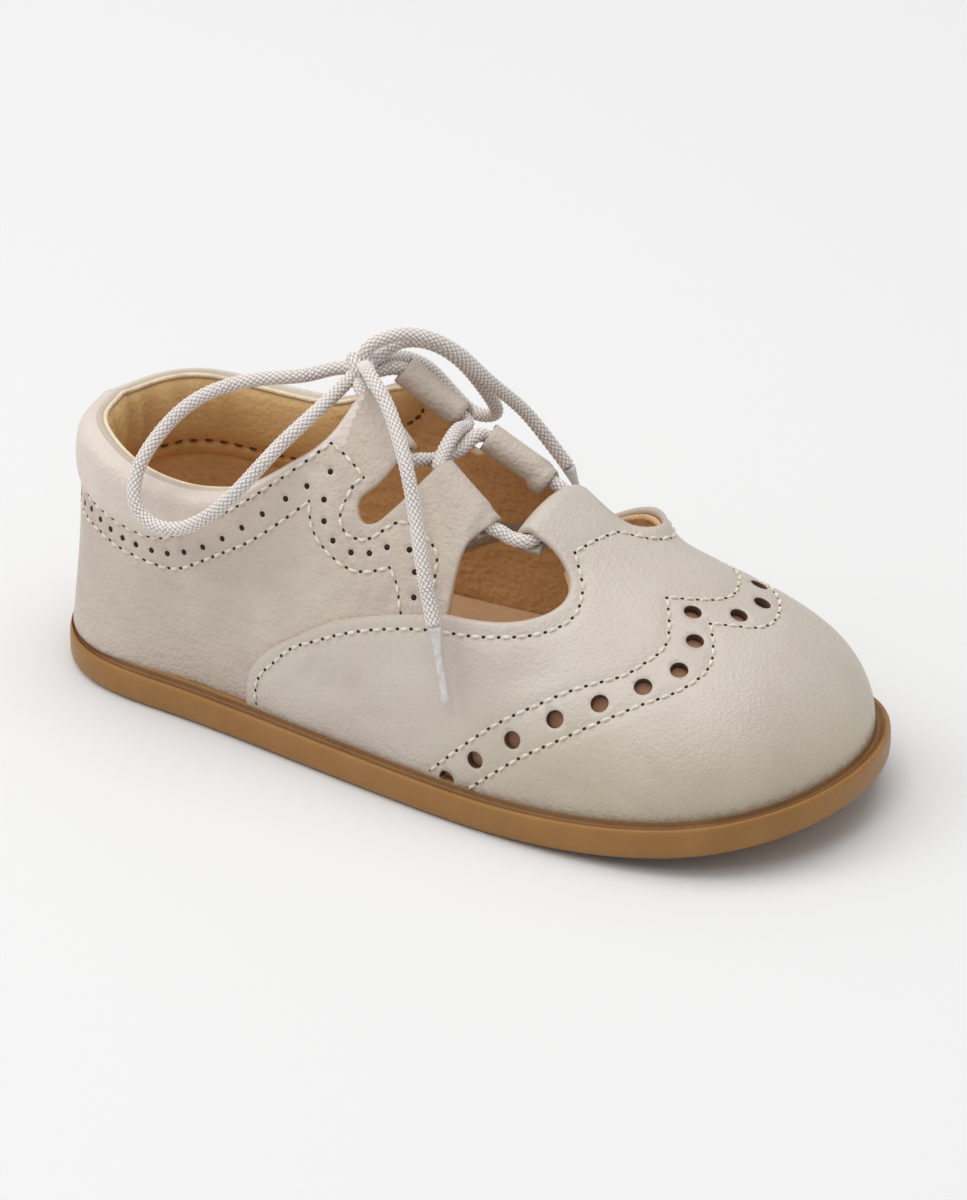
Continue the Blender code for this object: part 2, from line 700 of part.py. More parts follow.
def make_sole(material):
    """The rubber unit: flat tread with rounded edges, an upright side and a lip round the upper."""
    t = np.linspace(0, 1, SOLE_STEPS)
    levels = (
        # grow, share of the thickness, added height
        (-EDGE_ROUND, 0.0, 0.0),
        (-0.3 * EDGE_ROUND, 0.0, 0.3 * EDGE_ROUND),
        (0.0, 0.0, EDGE_ROUND),
        (0.0, 1.0, -0.8 * EDGE_ROUND),
        (-0.25 * EDGE_ROUND, 1.0, -0.25 * EDGE_ROUND),
        (-0.8 * EDGE_ROUND, 1.0, 0.0),
    )
    rings = []
    for grow, share, added in levels:
        lateral, medial = plan_ring(flange(t) + grow, t)
        thick = share * (SOLE_THICKNESS - SEAT_GAP) + added
        rings.append((lateral, medial, (ground(lateral[:, 0]) + thick, ground(medial[:, 0]) + thick)))
    return slab("outsole", t, rings, material)


def make_insole(material):
    """The leather sock that lies on the sole inside the upper."""
    t = np.linspace(0, 1, INSOLE_STEPS)
    rings = []
    for share in (0.0, 1.0):
        lateral, medial = plan_ring(-(VAMP_WALL + 2 * SEAT_GAP), t)
        thick = SOLE_THICKNESS + share * INSOLE_THICKNESS
        rings.append((lateral, medial, (ground(lateral[:, 0]) + thick, ground(medial[:, 0]) + thick)))
    return slab("insole", t, rings, material)


def make_cord(name, route, radius, material, spacing=CORD_SPACING):
    """A round cord along a smooth curve through its route."""
    points = to_metres(smooth_run(route, spacing))
    curve = bpy.data.curves.new(name, "CURVE")
    curve.dimensions = "3D"
    curve.bevel_depth = radius * MM
    curve.bevel_resolution = 2
    curve.use_fill_caps = True
    cord = curve.splines.new("POLY")
    cord.points.add(len(points) - 1)
    cord.points.foreach_set("co", np.column_stack([points, np.ones(len(points))]).ravel())
    return add_object(name, curve, material)


def past(axis, end, length):
    """A point past one end of a tunnel, straight on along it."""
    inner, outer = (axis[1], axis[0]) if end == 0 else (axis[-2], axis[-1])
    way = outer - inner
    return outer + way / np.linalg.norm(way) * length


def lace_crossings_route():
    """The laced part, from the knot down one side, through the centre tab and up the other side."""
    axes = {name: tunnel_axis(name) for name in FOLDS}
    route = []
    for top, mid, side in (("top_lateral", "mid_medial", LATERAL), ("top_medial", "mid_lateral", MEDIAL)):
        top_axis = axes[top]
        mid_axis = axes[mid]
        over = CROSSING_RISE if side == MEDIAL else -CROSSING_RISE
        crossing = (past(top_axis, 1, EXIT_CROSSING) + past(mid_axis, 0, EXIT_SIDE)) / 2 + [0, 0, over]
        half = [past(top_axis, 0, EXIT_SIDE), *top_axis[[0, 2, -1]], past(top_axis, 1, EXIT_SIDE), crossing]
        half += [past(mid_axis, 0, EXIT_SIDE), *mid_axis[[0, 2, -1]], past(mid_axis, 1, EXIT_FRONT)]
        route.append(half)
    centre = axes["centre"]
    ends = [past(centre, 1, EXIT_CENTRE), *centre[::-2], past(centre, 0, EXIT_CENTRE)]
    return np.array(route[0] + ends + route[1][::-1])


def make_knot(material):
    """The bow's knot, a rounded lump."""
    mesh = bpy.data.meshes.new("lace_knot")
    lump = bmesh.new()
    bmesh.ops.create_uvsphere(lump, u_segments=KNOT_SEGMENTS, v_segments=KNOT_RINGS, radius=1.0)
    for vertex in lump.verts:
        vertex.co = Vector(to_metres(np.array(vertex.co) * KNOT_HALF + KNOT))
    lump.to_mesh(mesh)
    lump.free()
    mesh.shade_smooth()
    return add_object("lace_knot", mesh, material)


def main():
    for thing in list(bpy.data.objects):
        bpy.data.objects.remove(thing, do_unlink=True)
    leather = make_material("upper_leather", (0.56, 0.49, 0.42), 0.5)
    rubber = make_material("sole_rubber", (0.36, 0.19, 0.07), 0.45)
    sock = make_material("sock_leather", (0.38, 0.20, 0.09), 0.6)
    braid = make_material("lace_braid", (0.54, 0.49, 0.45), 0.7)
    tip = make_material("aglet_plastic", (0.72, 0.68, 0.64), 0.3)
    make_sole(rubber)
    make_insole(sock)
    make_upper(leather)
    make_cord("lace_crossings", lace_crossings_route(), LACE_RADIUS, braid, CROSSING_SPACING)
    make_knot(braid)
    make_cord("lace_loop_lateral", LOOP_LATERAL, LACE_RADIUS, braid)
    make_cord("lace_loop_medial", LOOP_MEDIAL, LACE_RADIUS, braid)
    make_cord("lace_end_lateral", END_LATERAL, LACE_RADIUS, braid)
    make_cord("lace_end_medial", END_MEDIAL, LACE_RADIUS, braid)
    make_cord("aglet_lateral", AGLET_LATERAL, AGLET_RADIUS, tip)
    make_cord("aglet_medial", AGLET_MEDIAL, AGLET_RADIUS, tip)


main()
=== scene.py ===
# %% [markdown]
# A small wing-tip shoe, dressed for its picture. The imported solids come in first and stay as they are.
# Every visible piece is then worked out in millimetres, x from the heel towards the toe, y towards the
# inner side of the foot and z up from the floor, and turned into metres around the sole's middle as it
# becomes a mesh.

import math

import bpy
import numpy as np
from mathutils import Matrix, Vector
from mathutils.geometry import delaunay_2d_cdt


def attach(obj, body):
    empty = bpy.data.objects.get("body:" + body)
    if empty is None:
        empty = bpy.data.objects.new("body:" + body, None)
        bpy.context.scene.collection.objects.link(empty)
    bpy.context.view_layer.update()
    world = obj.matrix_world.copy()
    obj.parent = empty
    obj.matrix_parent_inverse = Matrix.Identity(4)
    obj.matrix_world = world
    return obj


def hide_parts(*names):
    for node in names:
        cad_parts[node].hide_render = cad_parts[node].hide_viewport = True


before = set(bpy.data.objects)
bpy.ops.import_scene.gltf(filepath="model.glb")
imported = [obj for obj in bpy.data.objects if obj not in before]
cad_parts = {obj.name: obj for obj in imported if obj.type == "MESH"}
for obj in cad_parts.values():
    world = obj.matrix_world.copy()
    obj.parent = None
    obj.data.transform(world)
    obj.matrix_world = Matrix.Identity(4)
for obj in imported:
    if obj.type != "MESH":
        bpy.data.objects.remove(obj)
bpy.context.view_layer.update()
MM = 0.001
SOLE_MIDDLE = np.array((63.5, -0.7, 0.0))
LATERAL, MEDIAL = -1, 1
TINY = 1e-9


def to_metres(points):
    """Heel millimetres to metres in the frame."""
    return (np.asarray(points, float) - SOLE_MIDDLE) * MM


print("solids:", sorted(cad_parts))

# %% [markdown]
# A mesh is a list of points and a list of faces. Large ones go in fastest as whole arrays, so one helper
# takes groups of faces, each with its own finish, and hands Blender the corner numbers in one go. It also
# rides the piece on the body.


# %% Helpers that turn arrays into pieces
def weld(points, groups, within=1e-4):
    """Points that share a place become one; faces that collapse and points without a face are dropped."""
    _, first, index = np.unique(np.round(points / within).astype(np.int64), axis=0, return_index=True,
                                return_inverse=True)
    index = index.reshape(-1)
    welded = []
    for faces, finish in groups:
        faces = index[faces]
        whole = np.all([faces[:, i] != faces[:, i - 1] for i in range(faces.shape[1])], axis=0)
        welded.append((faces[whole], finish))
    used = np.unique(np.concatenate([faces.ravel() for faces, _ in welded]))
    number = np.zeros(len(first), int)
    number[used] = np.arange(len(used))
    return points[first[used]], [(number[faces], finish) for faces, finish in welded]


def joined(parts):
    """One array of points and one list of groups from several, with the face numbers moved on."""
    points, groups, start = [], [], 0
    for part_points, part_groups in parts:
        points.append(part_points)
        groups += [(faces + start, finish) for faces, finish in part_groups]
        start += len(part_points)
    return np.vstack(points), groups


def add_piece(name, points, groups, finishes, slot, replaces=(), values=None):
    """A piece from points and groups of (faces, finish number), with named values kept on its points."""
    mesh = bpy.data.meshes.new(name)
    groups = [(np.asarray(faces), finish) for faces, finish in groups if len(faces)]
    corners = np.concatenate([faces.ravel() for faces, _ in groups])
    sizes = np.concatenate([np.full(len(faces), faces.shape[1]) for faces, _ in groups])
    finish_of = np.concatenate([np.full(len(faces), finish) for faces, finish in groups])
    mesh.vertices.add(len(points))
    mesh.vertices.foreach_set("co", to_metres(points).astype(np.float32).ravel())
    mesh.loops.add(len(corners))
    mesh.loops.foreach_set("vertex_index", corners.astype(np.int32))
    mesh.polygons.add(len(sizes))
    mesh.polygons.foreach_set("loop_start", np.concatenate([[0], np.cumsum(sizes)[:-1]]).astype(np.int32))
    mesh.update(calc_edges=True)
    mesh.polygons.foreach_set("material_index", finish_of.astype(np.int32))
    mesh.polygons.foreach_set("use_smooth", np.ones(len(sizes), bool))
    for key, numbers in (values or {}).items():
        kept = mesh.attributes.new(key, "FLOAT", "POINT")
        kept.data.foreach_set("value", np.asarray(numbers, np.float32))
    for finish in finishes:
        mesh.materials.append(finish)
    piece = bpy.data.objects.new(name, mesh)
    bpy.context.scene.collection.objects.link(piece)
    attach(piece, "root")
    if replaces:
        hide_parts(*replaces)
    print(f"{name}: {len(points)} points, {len(sizes)} faces")
    return piece


def grid_faces(rows, columns, closed=False):
    """Four-sided faces between the rows of a grid, closed round its columns where asked."""
    number = np.arange(rows * columns).reshape(rows, columns)
    if closed:
        number = np.hstack([number, number[:, :1]])
    return np.stack([number[:-1, :-1], number[:-1, 1:], number[1:, 1:], number[1:, :-1]], -1).reshape(-1, 4)


def unit(rows):
    """Directions scaled to length one."""
    return rows / np.maximum(np.linalg.norm(rows, axis=-1, keepdims=True), TINY)


def round_steps(count):
    """Angles at even steps round a circle."""
    return np.linspace(0, 2 * np.pi, count, endpoint=False)


def eased(share):
    """An S-curve from 0 to 1 that is level at both ends: three squares less two cubes."""
    return share**2 * (3 - 2 * share)


# %% [markdown]
# The camera stands where the photographer stood: a little over a metre away, 31 degrees round from the
# outer side towards the toe and 28 degrees up. The lens is long, so the one shoe fills the frame without a
# shift.

# %% Camera
VIEW_AZIMUTH = math.radians(30.82)
VIEW_HEIGHT = math.radians(27.74)
VIEW_DISTANCE = 1150.0
VIEW_AIM = np.array((66.0, -0.6, 21.0))
VIEW_LENS = 236.0

back = np.array((math.sin(VIEW_AZIMUTH) * math.cos(VIEW_HEIGHT),
                 -math.cos(VIEW_AZIMUTH) * math.cos(VIEW_HEIGHT), math.sin(VIEW_HEIGHT)))
camera = bpy.data.objects.new("camera", bpy.data.cameras.new("camera"))
bpy.context.scene.collection.objects.link(camera)
camera.data.lens = VIEW_LENS
camera.location = Vector(to_metres(VIEW_AIM + back * VIEW_DISTANCE))
camera.rotation_euler = Vector(-back).to_track_quat("-Z", "Y").to_euler()
bpy.context.scene.camera = camera
print("camera at", [round(x, 3) for x in camera.location])

# %% [markdown]
# A catalogue picture shows a white table and hardly any shadow. A broad soft box above gives most of the
# light, one beyond the heel models the form, and a small one in front brings out the gloss. The pale
# surroundings fill in the rest.


# %% Studio
def new_material(name):
    """A material with nodes, and its shader."""
    material = bpy.data.materials.new(name)
    material.use_nodes = True
    return material, material.node_tree.nodes["Principled BSDF"]


FLOOR_REACH, FLOOR_TONE, SURROUNDINGS = 3.0, 0.79, 0.55
floor_mesh = bpy.data.meshes.new("floor")
floor_mesh.from_pydata([(-FLOOR_REACH, -FLOOR_REACH, 0), (FLOOR_REACH, -FLOOR_REACH, 0),
                        (FLOOR_REACH, FLOOR_REACH, 0), (-FLOOR_REACH, FLOOR_REACH, 0)], [], [(0, 1, 2, 3)])
floor_paper, floor_shader = new_material("studio_paper")
floor_shader.inputs["Base Color"].default_value = (FLOOR_TONE, FLOOR_TONE, FLOOR_TONE, 1)
floor_shader.inputs["Roughness"].default_value = 0.9
floor_shader.inputs["Specular IOR Level"].default_value = 0.1
floor_mesh.materials.append(floor_paper)
floor = bpy.data.objects.new("floor", floor_mesh)
bpy.context.scene.collection.objects.link(floor)

bpy.context.scene.view_settings.view_transform = "Standard"
world = bpy.data.worlds.new("studio")
world.use_nodes = True
world.node_tree.nodes["Background"].inputs["Color"].default_value = (1.0, 1.0, 1.0, 1)
world.node_tree.nodes["Background"].inputs["Strength"].default_value = SURROUNDINGS
bpy.context.scene.world = world

SOFT_LIGHTS = (
    # name, place, aim, side, watts
    ("soft_box_above", (-0.05, 0.10, 1.20), (0.0, 0.0, 0.0), 1.1, 6.9),
    ("soft_box_side", (-0.80, -0.45, 0.90), (0.0, 0.0, 0.03), 0.7, 4.0),
    ("soft_box_front", (0.10, -0.75, 1.00), (0.04, 0.0, 0.02), 0.35, 1.4),
)
for name, place, aim, side, watts in SOFT_LIGHTS:
    lamp = bpy.data.lights.new(name, "AREA")
    lamp.shape = "SQUARE"
    lamp.size = side
    lamp.energy = watts
    stand = bpy.data.objects.new(name, lamp)
    stand.location = place
    stand.rotation_euler = (Vector(aim) - Vector(place)).to_track_quat("-Z", "Y").to_euler()
    bpy.context.scene.collection.objects.link(stand)
print("studio:", len(SOFT_LIGHTS), "soft boxes")

# %% [markdown]
# A shoe is built over a last, a solid foot. It could be sculpted, but a formula is easier to measure on:
# half widths along the sole's edge, and across it a cubic curve at each place that stands up from the edge
# and lies flat at the ridge.

# %% The last
HEEL_BACK, LAST_LENGTH = -2.0, 129.0
SOLE_THICKNESS, TOE_SPRING, SPRING_START, SPRING_END = 5.3, 5.5, 76.0, 127.0
HALF_WIDTHS = np.array((
    # lateral, medial, at even steps from heel to toe
    (0.0, 0.0), (10.9, 10.9), (17.9, 18.2), (19.6, 20.2), (21.8, 20.4), (24.6, 21.4),
    (26.6, 23.6), (26.2, 25.2), (22.2, 22.8), (12.9, 13.2), (0.0, 0.0),
))
SECTIONS = np.array((
    # x, ridge, shift, wall, bulge, crown_lateral, crown_medial
    (-2.0, 78.0, 0.0, 0.50, 0.02, 0.80, 0.80),
    (20.0, 72.0, 0.0, 0.50, 0.03, 0.80, 0.80),
    (38.0, 62.5, 0.0, 0.50, 0.04, 0.76, 0.76),
    (52.0, 54.0, 0.0, 0.50, 0.05, 0.66, 0.66),
    (66.0, 46.3, 0.4, 0.50, 0.06, 0.60, 0.62),
    (80.0, 38.5, 1.8, 0.52, 0.06, 0.58, 0.66),
    (92.0, 32.9, 3.6, 0.55, 0.05, 0.58, 0.70),
    (106.0, 28.2, 4.2, 0.58, 0.04, 0.60, 0.70),
    (117.0, 23.1, 2.8, 0.60, 0.03, 0.64, 0.70),
    (124.0, 17.0, 1.3, 0.60, 0.02, 0.64, 0.68),
    (127.0, 10.8, 0.0, 0.60, 0.02, 0.64, 0.66),
))
BACK_LEAN, LEAN_FROM, LEAN_OVER = 1.0, 10.0, 25.0
LEAN_LEAST, LEAN_MOST, LEAN_REACH = -0.45, 2.0, 0.45


def spline(knots, values, at):
    """Natural cubic spline: on each stretch a cubic whose slope and bend agree with its neighbours'."""
    knots, values, at = (np.asarray(x, float) for x in (knots, values, at))
    step = np.diff(knots)
    matrix = np.eye(len(knots))
    right = np.zeros(values.shape)
    for i in range(1, len(knots) - 1):
        matrix[i, i - 1 : i + 2] = step[i - 1], 2 * (step[i - 1] + step[i]), step[i]
        right[i] = 6 * ((values[i + 1] - values[i]) / step[i] - (values[i] - values[i - 1]) / step[i - 1])
    bend = np.linalg.solve(matrix, right)
    i = np.clip(np.searchsorted(knots, at) - 1, 0, len(knots) - 2)
    width, before, after = step[i], at - knots[i], knots[i + 1] - at
    if values.ndim == 2:
        width, before, after = width[..., None], before[..., None], after[..., None]
    return ((bend[i] * after**3 + bend[i + 1] * before**3) / (6 * width)
            + (values[i] / width - bend[i] * width / 6) * after
            + (values[i + 1] / width - bend[i + 1] * width / 6) * before)


def lengths_along(rows):
    """Length along a line of points, from its start."""
    return np.concatenate([[0], np.cumsum(np.linalg.norm(np.diff(rows, axis=0), axis=1))])


def smooth_run(rows, spacing):
    """A smooth curve through the rows, read at even spacing."""
    along = lengths_along(np.asarray(rows, float))
    count = max(2, int(round(along[-1] / spacing)) + 1)
    return spline(along, rows, np.linspace(0, along[-1], count))


def section(rows, count):
    """A smooth curve through rows at even steps, read at a count of even steps."""
    return spline(np.linspace(0, 1, len(rows)), np.array(rows), np.linspace(0, 1, count))


def last_x(t):
    """Length from the heel at t: half a cosine wave, so that steps are short at both round ends."""
    return HEEL_BACK + LAST_LENGTH * (1 - np.cos(np.pi * np.asarray(t))) / 2


def last_t(x):
    """The t of a length from the heel: the cosine wave undone."""
    return np.arccos(np.clip(1 - 2 * (np.asarray(x) - HEEL_BACK) / LAST_LENGTH, -1, 1)) / np.pi


WIDTH_STEPS = np.linspace(0, 1, len(HALF_WIDTHS))
SECTION_STEPS = last_t(SECTIONS[:, 0])


def section_column(column, t):
    """One column of the sections, as a spline over t."""
    return spline(SECTION_STEPS, SECTIONS[:, column], t)


def half_width(t, side):
    """Half width of the sole's edge on a side, as a spline over t."""
    return np.where(np.asarray(side) < 0, spline(WIDTH_STEPS, HALF_WIDTHS[:, 0], t),
                    spline(WIDTH_STEPS, HALF_WIDTHS[:, 1], t))


def ground(x):
    """Height of the tread: flat from heel to ball, then rising as a square to the toe spring."""
    return TOE_SPRING * np.clip((np.asarray(x) - SPRING_START) / (SPRING_END - SPRING_START), 0, None) ** 2


def last(t, w, side):
    """A point of the last: t from heel to toe, w from the sole's edge (0) to the ridge (1).

    The section is a cubic curve with four guide points: on the sole's edge, straight above it and a little
    out, level with the ridge and part of the way in, and on the ridge.
    """
    t, w, side = (np.asarray(x, float) for x in (t, w, side))
    width = half_width(t, side)
    x = last_x(t)
    foot = SOLE_THICKNESS + ground(x)
    ridge = np.maximum(section_column(1, t), foot)
    shift, wall, bulge = (section_column(column, t) for column in (2, 3, 4))
    crown = np.where(side < 0, section_column(5, t), section_column(6, t))
    edge, low, high, top = (1 - w) ** 3, 3 * w * (1 - w) ** 2, 3 * w**2 * (1 - w), w**3
    y = side * width * (edge + low * (1 + bulge))
    y = y + high * (shift + side * crown * (width - side * shift)) + top * shift
    z = foot + (ridge - foot) * (low * wall + high + top)
    lean = BACK_LEAN * np.clip((z - LEAN_FROM) / LEAN_OVER, LEAN_LEAST, LEAN_MOST)
    x = x + lean * np.clip(1 - t / LEAN_REACH, 0, 1) ** 2
    return np.stack(np.broadcast_arrays(x, y, z), -1)


def last_normal(t, w, side):
    """The last's outward direction: along it crossed with up it."""
    step, toe_limit = 1e-4, 0.998
    t = np.clip(t, 0, toe_limit)
    along = last(t + step, w, side) - last(t, w, side)
    up = last(t, np.clip(w + step, 0, 1), side) - last(t, np.clip(w - step, 0, 1), side)
    normal = np.cross(along, up) * -np.asarray(side, float)[..., None]
    normal[..., 1] = np.where(t < TINY, 0, normal[..., 1])
    return unit(normal)


print("last:", LAST_LENGTH, "mm long, from", len(SECTIONS), "sections")

# %% [markdown]
# A pattern cutter draws the upper flat, and so does this script. A place on the pattern is two lengths: p
# along the sole's edge from the heel's back, and v over the last from its ridge, negative on the outer
# side. Tables of lengths measured on the last turn such a place back into a point of it.

# %% Flat pattern of the last
T_TABLE = np.linspace(0, 1, 401)
W_TABLE = np.linspace(0, 1, 81)
P_TABLE = np.mean([lengths_along(last(T_TABLE, 0.0, side)) for side in (LATERAL, MEDIAL)], axis=0)


def section_lengths(t, side):
    """Lengths up each section from the sole's edge, one row for each t."""
    points = last(np.asarray(t)[:, None], W_TABLE[None, :], np.asarray(side, float)[:, None])
    steps = np.linalg.norm(np.diff(points, axis=1), axis=2)
    return np.concatenate([np.zeros((len(points), 1)), np.cumsum(steps, axis=1)], axis=1)


def girth(t, side):
    """Length up a whole section, from the sole's edge to the ridge."""
    t = np.atleast_1d(t)
    return section_lengths(t, np.full(len(t), side))[:, -1]


def pattern_from_up(rows, side):
    """Pattern places of rows of x and length up the wall."""
    rows = np.asarray(rows, float)
    t = last_t(rows[:, 0])
    return np.stack([np.interp(t, T_TABLE, P_TABLE), side * (girth(t, side) - rows[:, 1])], 1)


def pattern_from_middle(rows, side):
    """Pattern places of rows of x and length over the last from the middle line."""
    rows = np.asarray(rows, float)
    t = last_t(rows[:, 0])
    return np.stack([np.interp(t, T_TABLE, P_TABLE), side * rows[:, 1] - section_column(2, t)], 1)


def pattern_to_last(pattern):
    """The last's own t, w and side under pattern places."""
    t = np.interp(pattern[:, 0], P_TABLE, T_TABLE)
    side = np.where(pattern[:, 1] < 0, -1.0, 1.0)
    lengths = section_lengths(t, side)
    up = np.clip(lengths[:, -1] - np.abs(pattern[:, 1]), 0, lengths[:, -1])
    column = np.clip((lengths <= up[:, None]).sum(1) - 1, 0, len(W_TABLE) - 2)
    row = np.arange(len(t))
    low = lengths[row, column]
    span = np.maximum(lengths[row, column + 1] - low, TINY)
    return t, np.clip(W_TABLE[column] + (up - low) / span * W_TABLE[1], 0, 1), side


def on_last(pattern, offset):
    """Points a given height off the last at pattern places, and the last's outward directions there."""
    t, w, side = pattern_to_last(pattern)
    normal = last_normal(t, w, side)
    return last(t, w, side) + normal * np.broadcast_to(offset, t.shape)[:, None], normal


print("pattern:", round(P_TABLE[-1], 1), "mm round each side of the sole's edge")

# %% [markdown]
# The pattern's edges come next, because the lace needs to know where the tabs fold. The collar is given as
# lengths up the wall, and everything round the throat as lengths from the middle line: two tabs on each
# side with a slot between them, a large opening in front of the lower tab, and one tab in the centre. The
# opening reaches a little further forward on the inner side.

# %% Edges of the pattern
COLLAR = {
    # x, up the wall
    LATERAL: ((-2.0, 33.6), (6.0, 33.0), (14.0, 31.0), (22.0, 30.0), (30.0, 31.4), (36.0, 34.2), (42.5, 39.4)),
    MEDIAL: ((-2.0, 33.6), (6.0, 33.2), (14.0, 32.6), (22.0, 32.4), (30.0, 33.2), (36.0, 35.6), (42.5, 40.0)),
}
COLLAR_END = (47.8, 15.5)
TOP_TAB = ((49.8, 6.8), (58.0, 9.8))
SLOT = ((58.0, 9.8), (57.2, 13.6), (55.3, 18.0), (53.9, 22.2), (55.0, 23.7), (56.9, 22.8), (58.8, 20.0),
        (60.6, 16.2))
MID_TAB = ((63.4, 8.0), (72.8, 9.8))
FRONT_REAR = ((72.8, 9.8), (70.8, 15.2), (70.7, 20.5), (71.2, 26.3))
FRONT_LOW = {
    LATERAL: ((71.2, 26.3), (79.5, 21.6), (84.2, 17.4), (86.4, 13.4), (86.3, 10.2), (84.2, 7.8), (81.2, 6.9)),
    MEDIAL: ((71.2, 26.3), (80.6, 19.8), (86.0, 15.4), (88.3, 12.6), (88.3, 10.0), (86.2, 7.8), (83.2, 6.9)),
}
CENTRE_TAB = (78.2, 7.2)
EDGE_SPACING = 0.8


def top_edge(side):
    """The runs of the upper's top edge on one side, from the heel's back to the centre tab."""
    collar = np.vstack([pattern_from_up(COLLAR[side], side),
                        pattern_from_middle((COLLAR_END, TOP_TAB[0]), side)])
    runs = {"collar": collar}
    for name, rows in (("top", TOP_TAB), ("slot", SLOT + (MID_TAB[0],)), ("mid", MID_TAB),
                       ("rear", FRONT_REAR), ("low", FRONT_LOW[side] + (CENTRE_TAB,))):
        runs[name] = pattern_from_middle(rows, side)
    return {name: smooth_run(rows, EDGE_SPACING) for name, rows in runs.items()}


EDGES = {side: top_edge(side) for side in (LATERAL, MEDIAL)}
FOLDS = {
    "top_lateral": EDGES[LATERAL]["top"],
    "mid_lateral": EDGES[LATERAL]["mid"],
    "top_medial": EDGES[MEDIAL]["top"],
    "mid_medial": EDGES[MEDIAL]["mid"],
    "centre": smooth_run([EDGES[LATERAL]["low"][-1], EDGES[MEDIAL]["low"][-1]], EDGE_SPACING),
}
collar_lengths = [lengths_along(EDGES[side]["collar"])[-1] for side in (LATERAL, MEDIAL)]
print("collar:", np.round(collar_lengths, 1), "mm a side")

# %% [markdown]
# The lace is a round braid. Real braids are two sets of strands that wind opposite ways and take turns on
# top, so the tube's radius follows that weave: in the cells where one set is on top the strand stands proud
# along its own way, and in the next cells the other set does. The height is also kept on the points, so
# that the finish can paint shade into the gaps between strands.

# %% Braided lace
LACE_RADIUS = 1.0
BRAID_STRANDS = 8
BRAID_PITCH = 0.95
BRAID_RELIEF = 0.26
RING_POINTS = 32
LACE_STEP = 0.16
BRAID_CROWN, BRAID_MEAN = 0.35, 0.6
FIRST_ACROSS = (0.0, 0.3, 1.0)


def path_frames(path):
    """Two directions across a path that turn as little as they can from one point to the next."""
    way = unit(np.gradient(path, axis=0))
    across = [unit(np.cross(way[0], FIRST_ACROSS))]
    for i in range(1, len(path)):
        across.append(unit(across[-1] - way[i] * (across[-1] @ way[i])))
    across = np.array(across)
    return across, np.cross(way, across)


def tube(path, radius):
    """Rings round a path, with a radius for each point of each ring, closed by a point at both ends."""
    across, over = path_frames(path)
    turn = round_steps(RING_POINTS)
    spoke = np.cos(turn)[None, :, None] * across[:, None] + np.sin(turn)[None, :, None] * over[:, None]
    rings = path[:, None] + spoke * np.broadcast_to(radius, (len(path), RING_POINTS))[..., None]
    points = np.vstack([rings.reshape(-1, 3), path[:1], path[-1:]])
    sides = grid_faces(len(path), RING_POINTS, closed=True)
    first_ring = np.arange(RING_POINTS)
    last_ring = first_ring + (len(path) - 1) * RING_POINTS
    start = np.stack([np.roll(first_ring, -1), first_ring, np.full(RING_POINTS, len(points) - 2)], 1)
    end = np.stack([last_ring, np.roll(last_ring, -1), np.full(RING_POINTS, len(points) - 1)], 1)
    return points, [(sides, 0), (start, 0), (end, 0)]


def braid_height(turn, along):
    """The weave: u and v count strands of the two sets, and the cell's parity says which set is on top."""
    u = BRAID_STRANDS * turn / (2 * np.pi) + along / BRAID_PITCH
    v = BRAID_STRANDS * turn / (2 * np.pi) - along / BRAID_PITCH
    rise_u, rise_v = np.sin(np.pi * (u % 1)), np.sin(np.pi * (v % 1))
    on_top = (np.floor(u) + np.floor(v)) % 2 == 0
    return np.where(on_top, rise_u**BRAID_CROWN * rise_v, rise_u * rise_v**BRAID_CROWN)


def braided(route):
    """A braided tube along the smooth curve through a route: its points, faces, heights and middle line."""
    path = smooth_run(route, LACE_STEP)
    turn = round_steps(RING_POINTS)
    height = braid_height(turn[None], lengths_along(path)[:, None])
    points, groups = tube(path, LACE_RADIUS * (1 + BRAID_RELIEF * (height - BRAID_MEAN)))
    return points, groups, {"braid": np.concatenate([height.ravel(), [0, 0]])}, path


print("braid:", 2 * LACE_RADIUS, "mm thick,", BRAID_STRANDS, "strands each way")

# %% [markdown]
# The bow's loops and tails follow the photograph: the near loop droops over the collar, the far one over
# the far tab, and a tail with a slim tip hangs down on either side. The laced part runs through all five
# tunnels and crosses between the tabs, one strand over the other.

# %% Routes of the lace
KNOT = np.array((44.8, 0.0, 53.2))
LOOP_LATERAL = (
    (42.4, -1.6, 53.3), (38.6, -4.4, 52.4), (34.0, -6.9, 51.8), (29.2, -9.0, 50.6), (23.0, -12.4, 47.0),
    (19.8, -16.6, 42.4), (19.0, -20.8, 37.8), (20.2, -22.6, 34.2), (22.8, -23.1, 32.3), (26.9, -23.3, 32.4),
    (32.2, -23.2, 35.4), (38.0, -21.9, 41.6), (41.4, -17.0, 46.9), (43.8, -10.4, 50.4), (44.65, -2.9, 52.5),
)
LOOP_MEDIAL = (
    (45.9, 2.4, 54.0), (47.6, 6.6, 55.3), (51.4, 10.0, 54.4), (54.1, 12.4, 51.6), (55.5, 15.9, 46.8),
    (56.0, 19.0, 42.4), (54.8, 21.4, 39.2), (51.2, 22.2, 38.0), (47.6, 21.4, 40.8), (45.2, 18.4, 45.6),
    (43.6, 12.4, 49.6), (43.9, 3.0, 52.4),
)
END_LATERAL = (
    (46.6, -1.75, 54.4), (50.3, -6.4, 56.2), (54.6, -9.4, 54.6), (58.4, -12.2, 51.5), (61.9, -15.2, 47.6),
    (65.0, -18.0, 42.2), (68.0, -20.9, 36.2), (71.6, -23.9, 28.8),
)
AGLET_LATERAL = ((71.72, -24.02, 28.5), (73.7, -25.7, 23.8), (75.7, -27.3, 18.6))
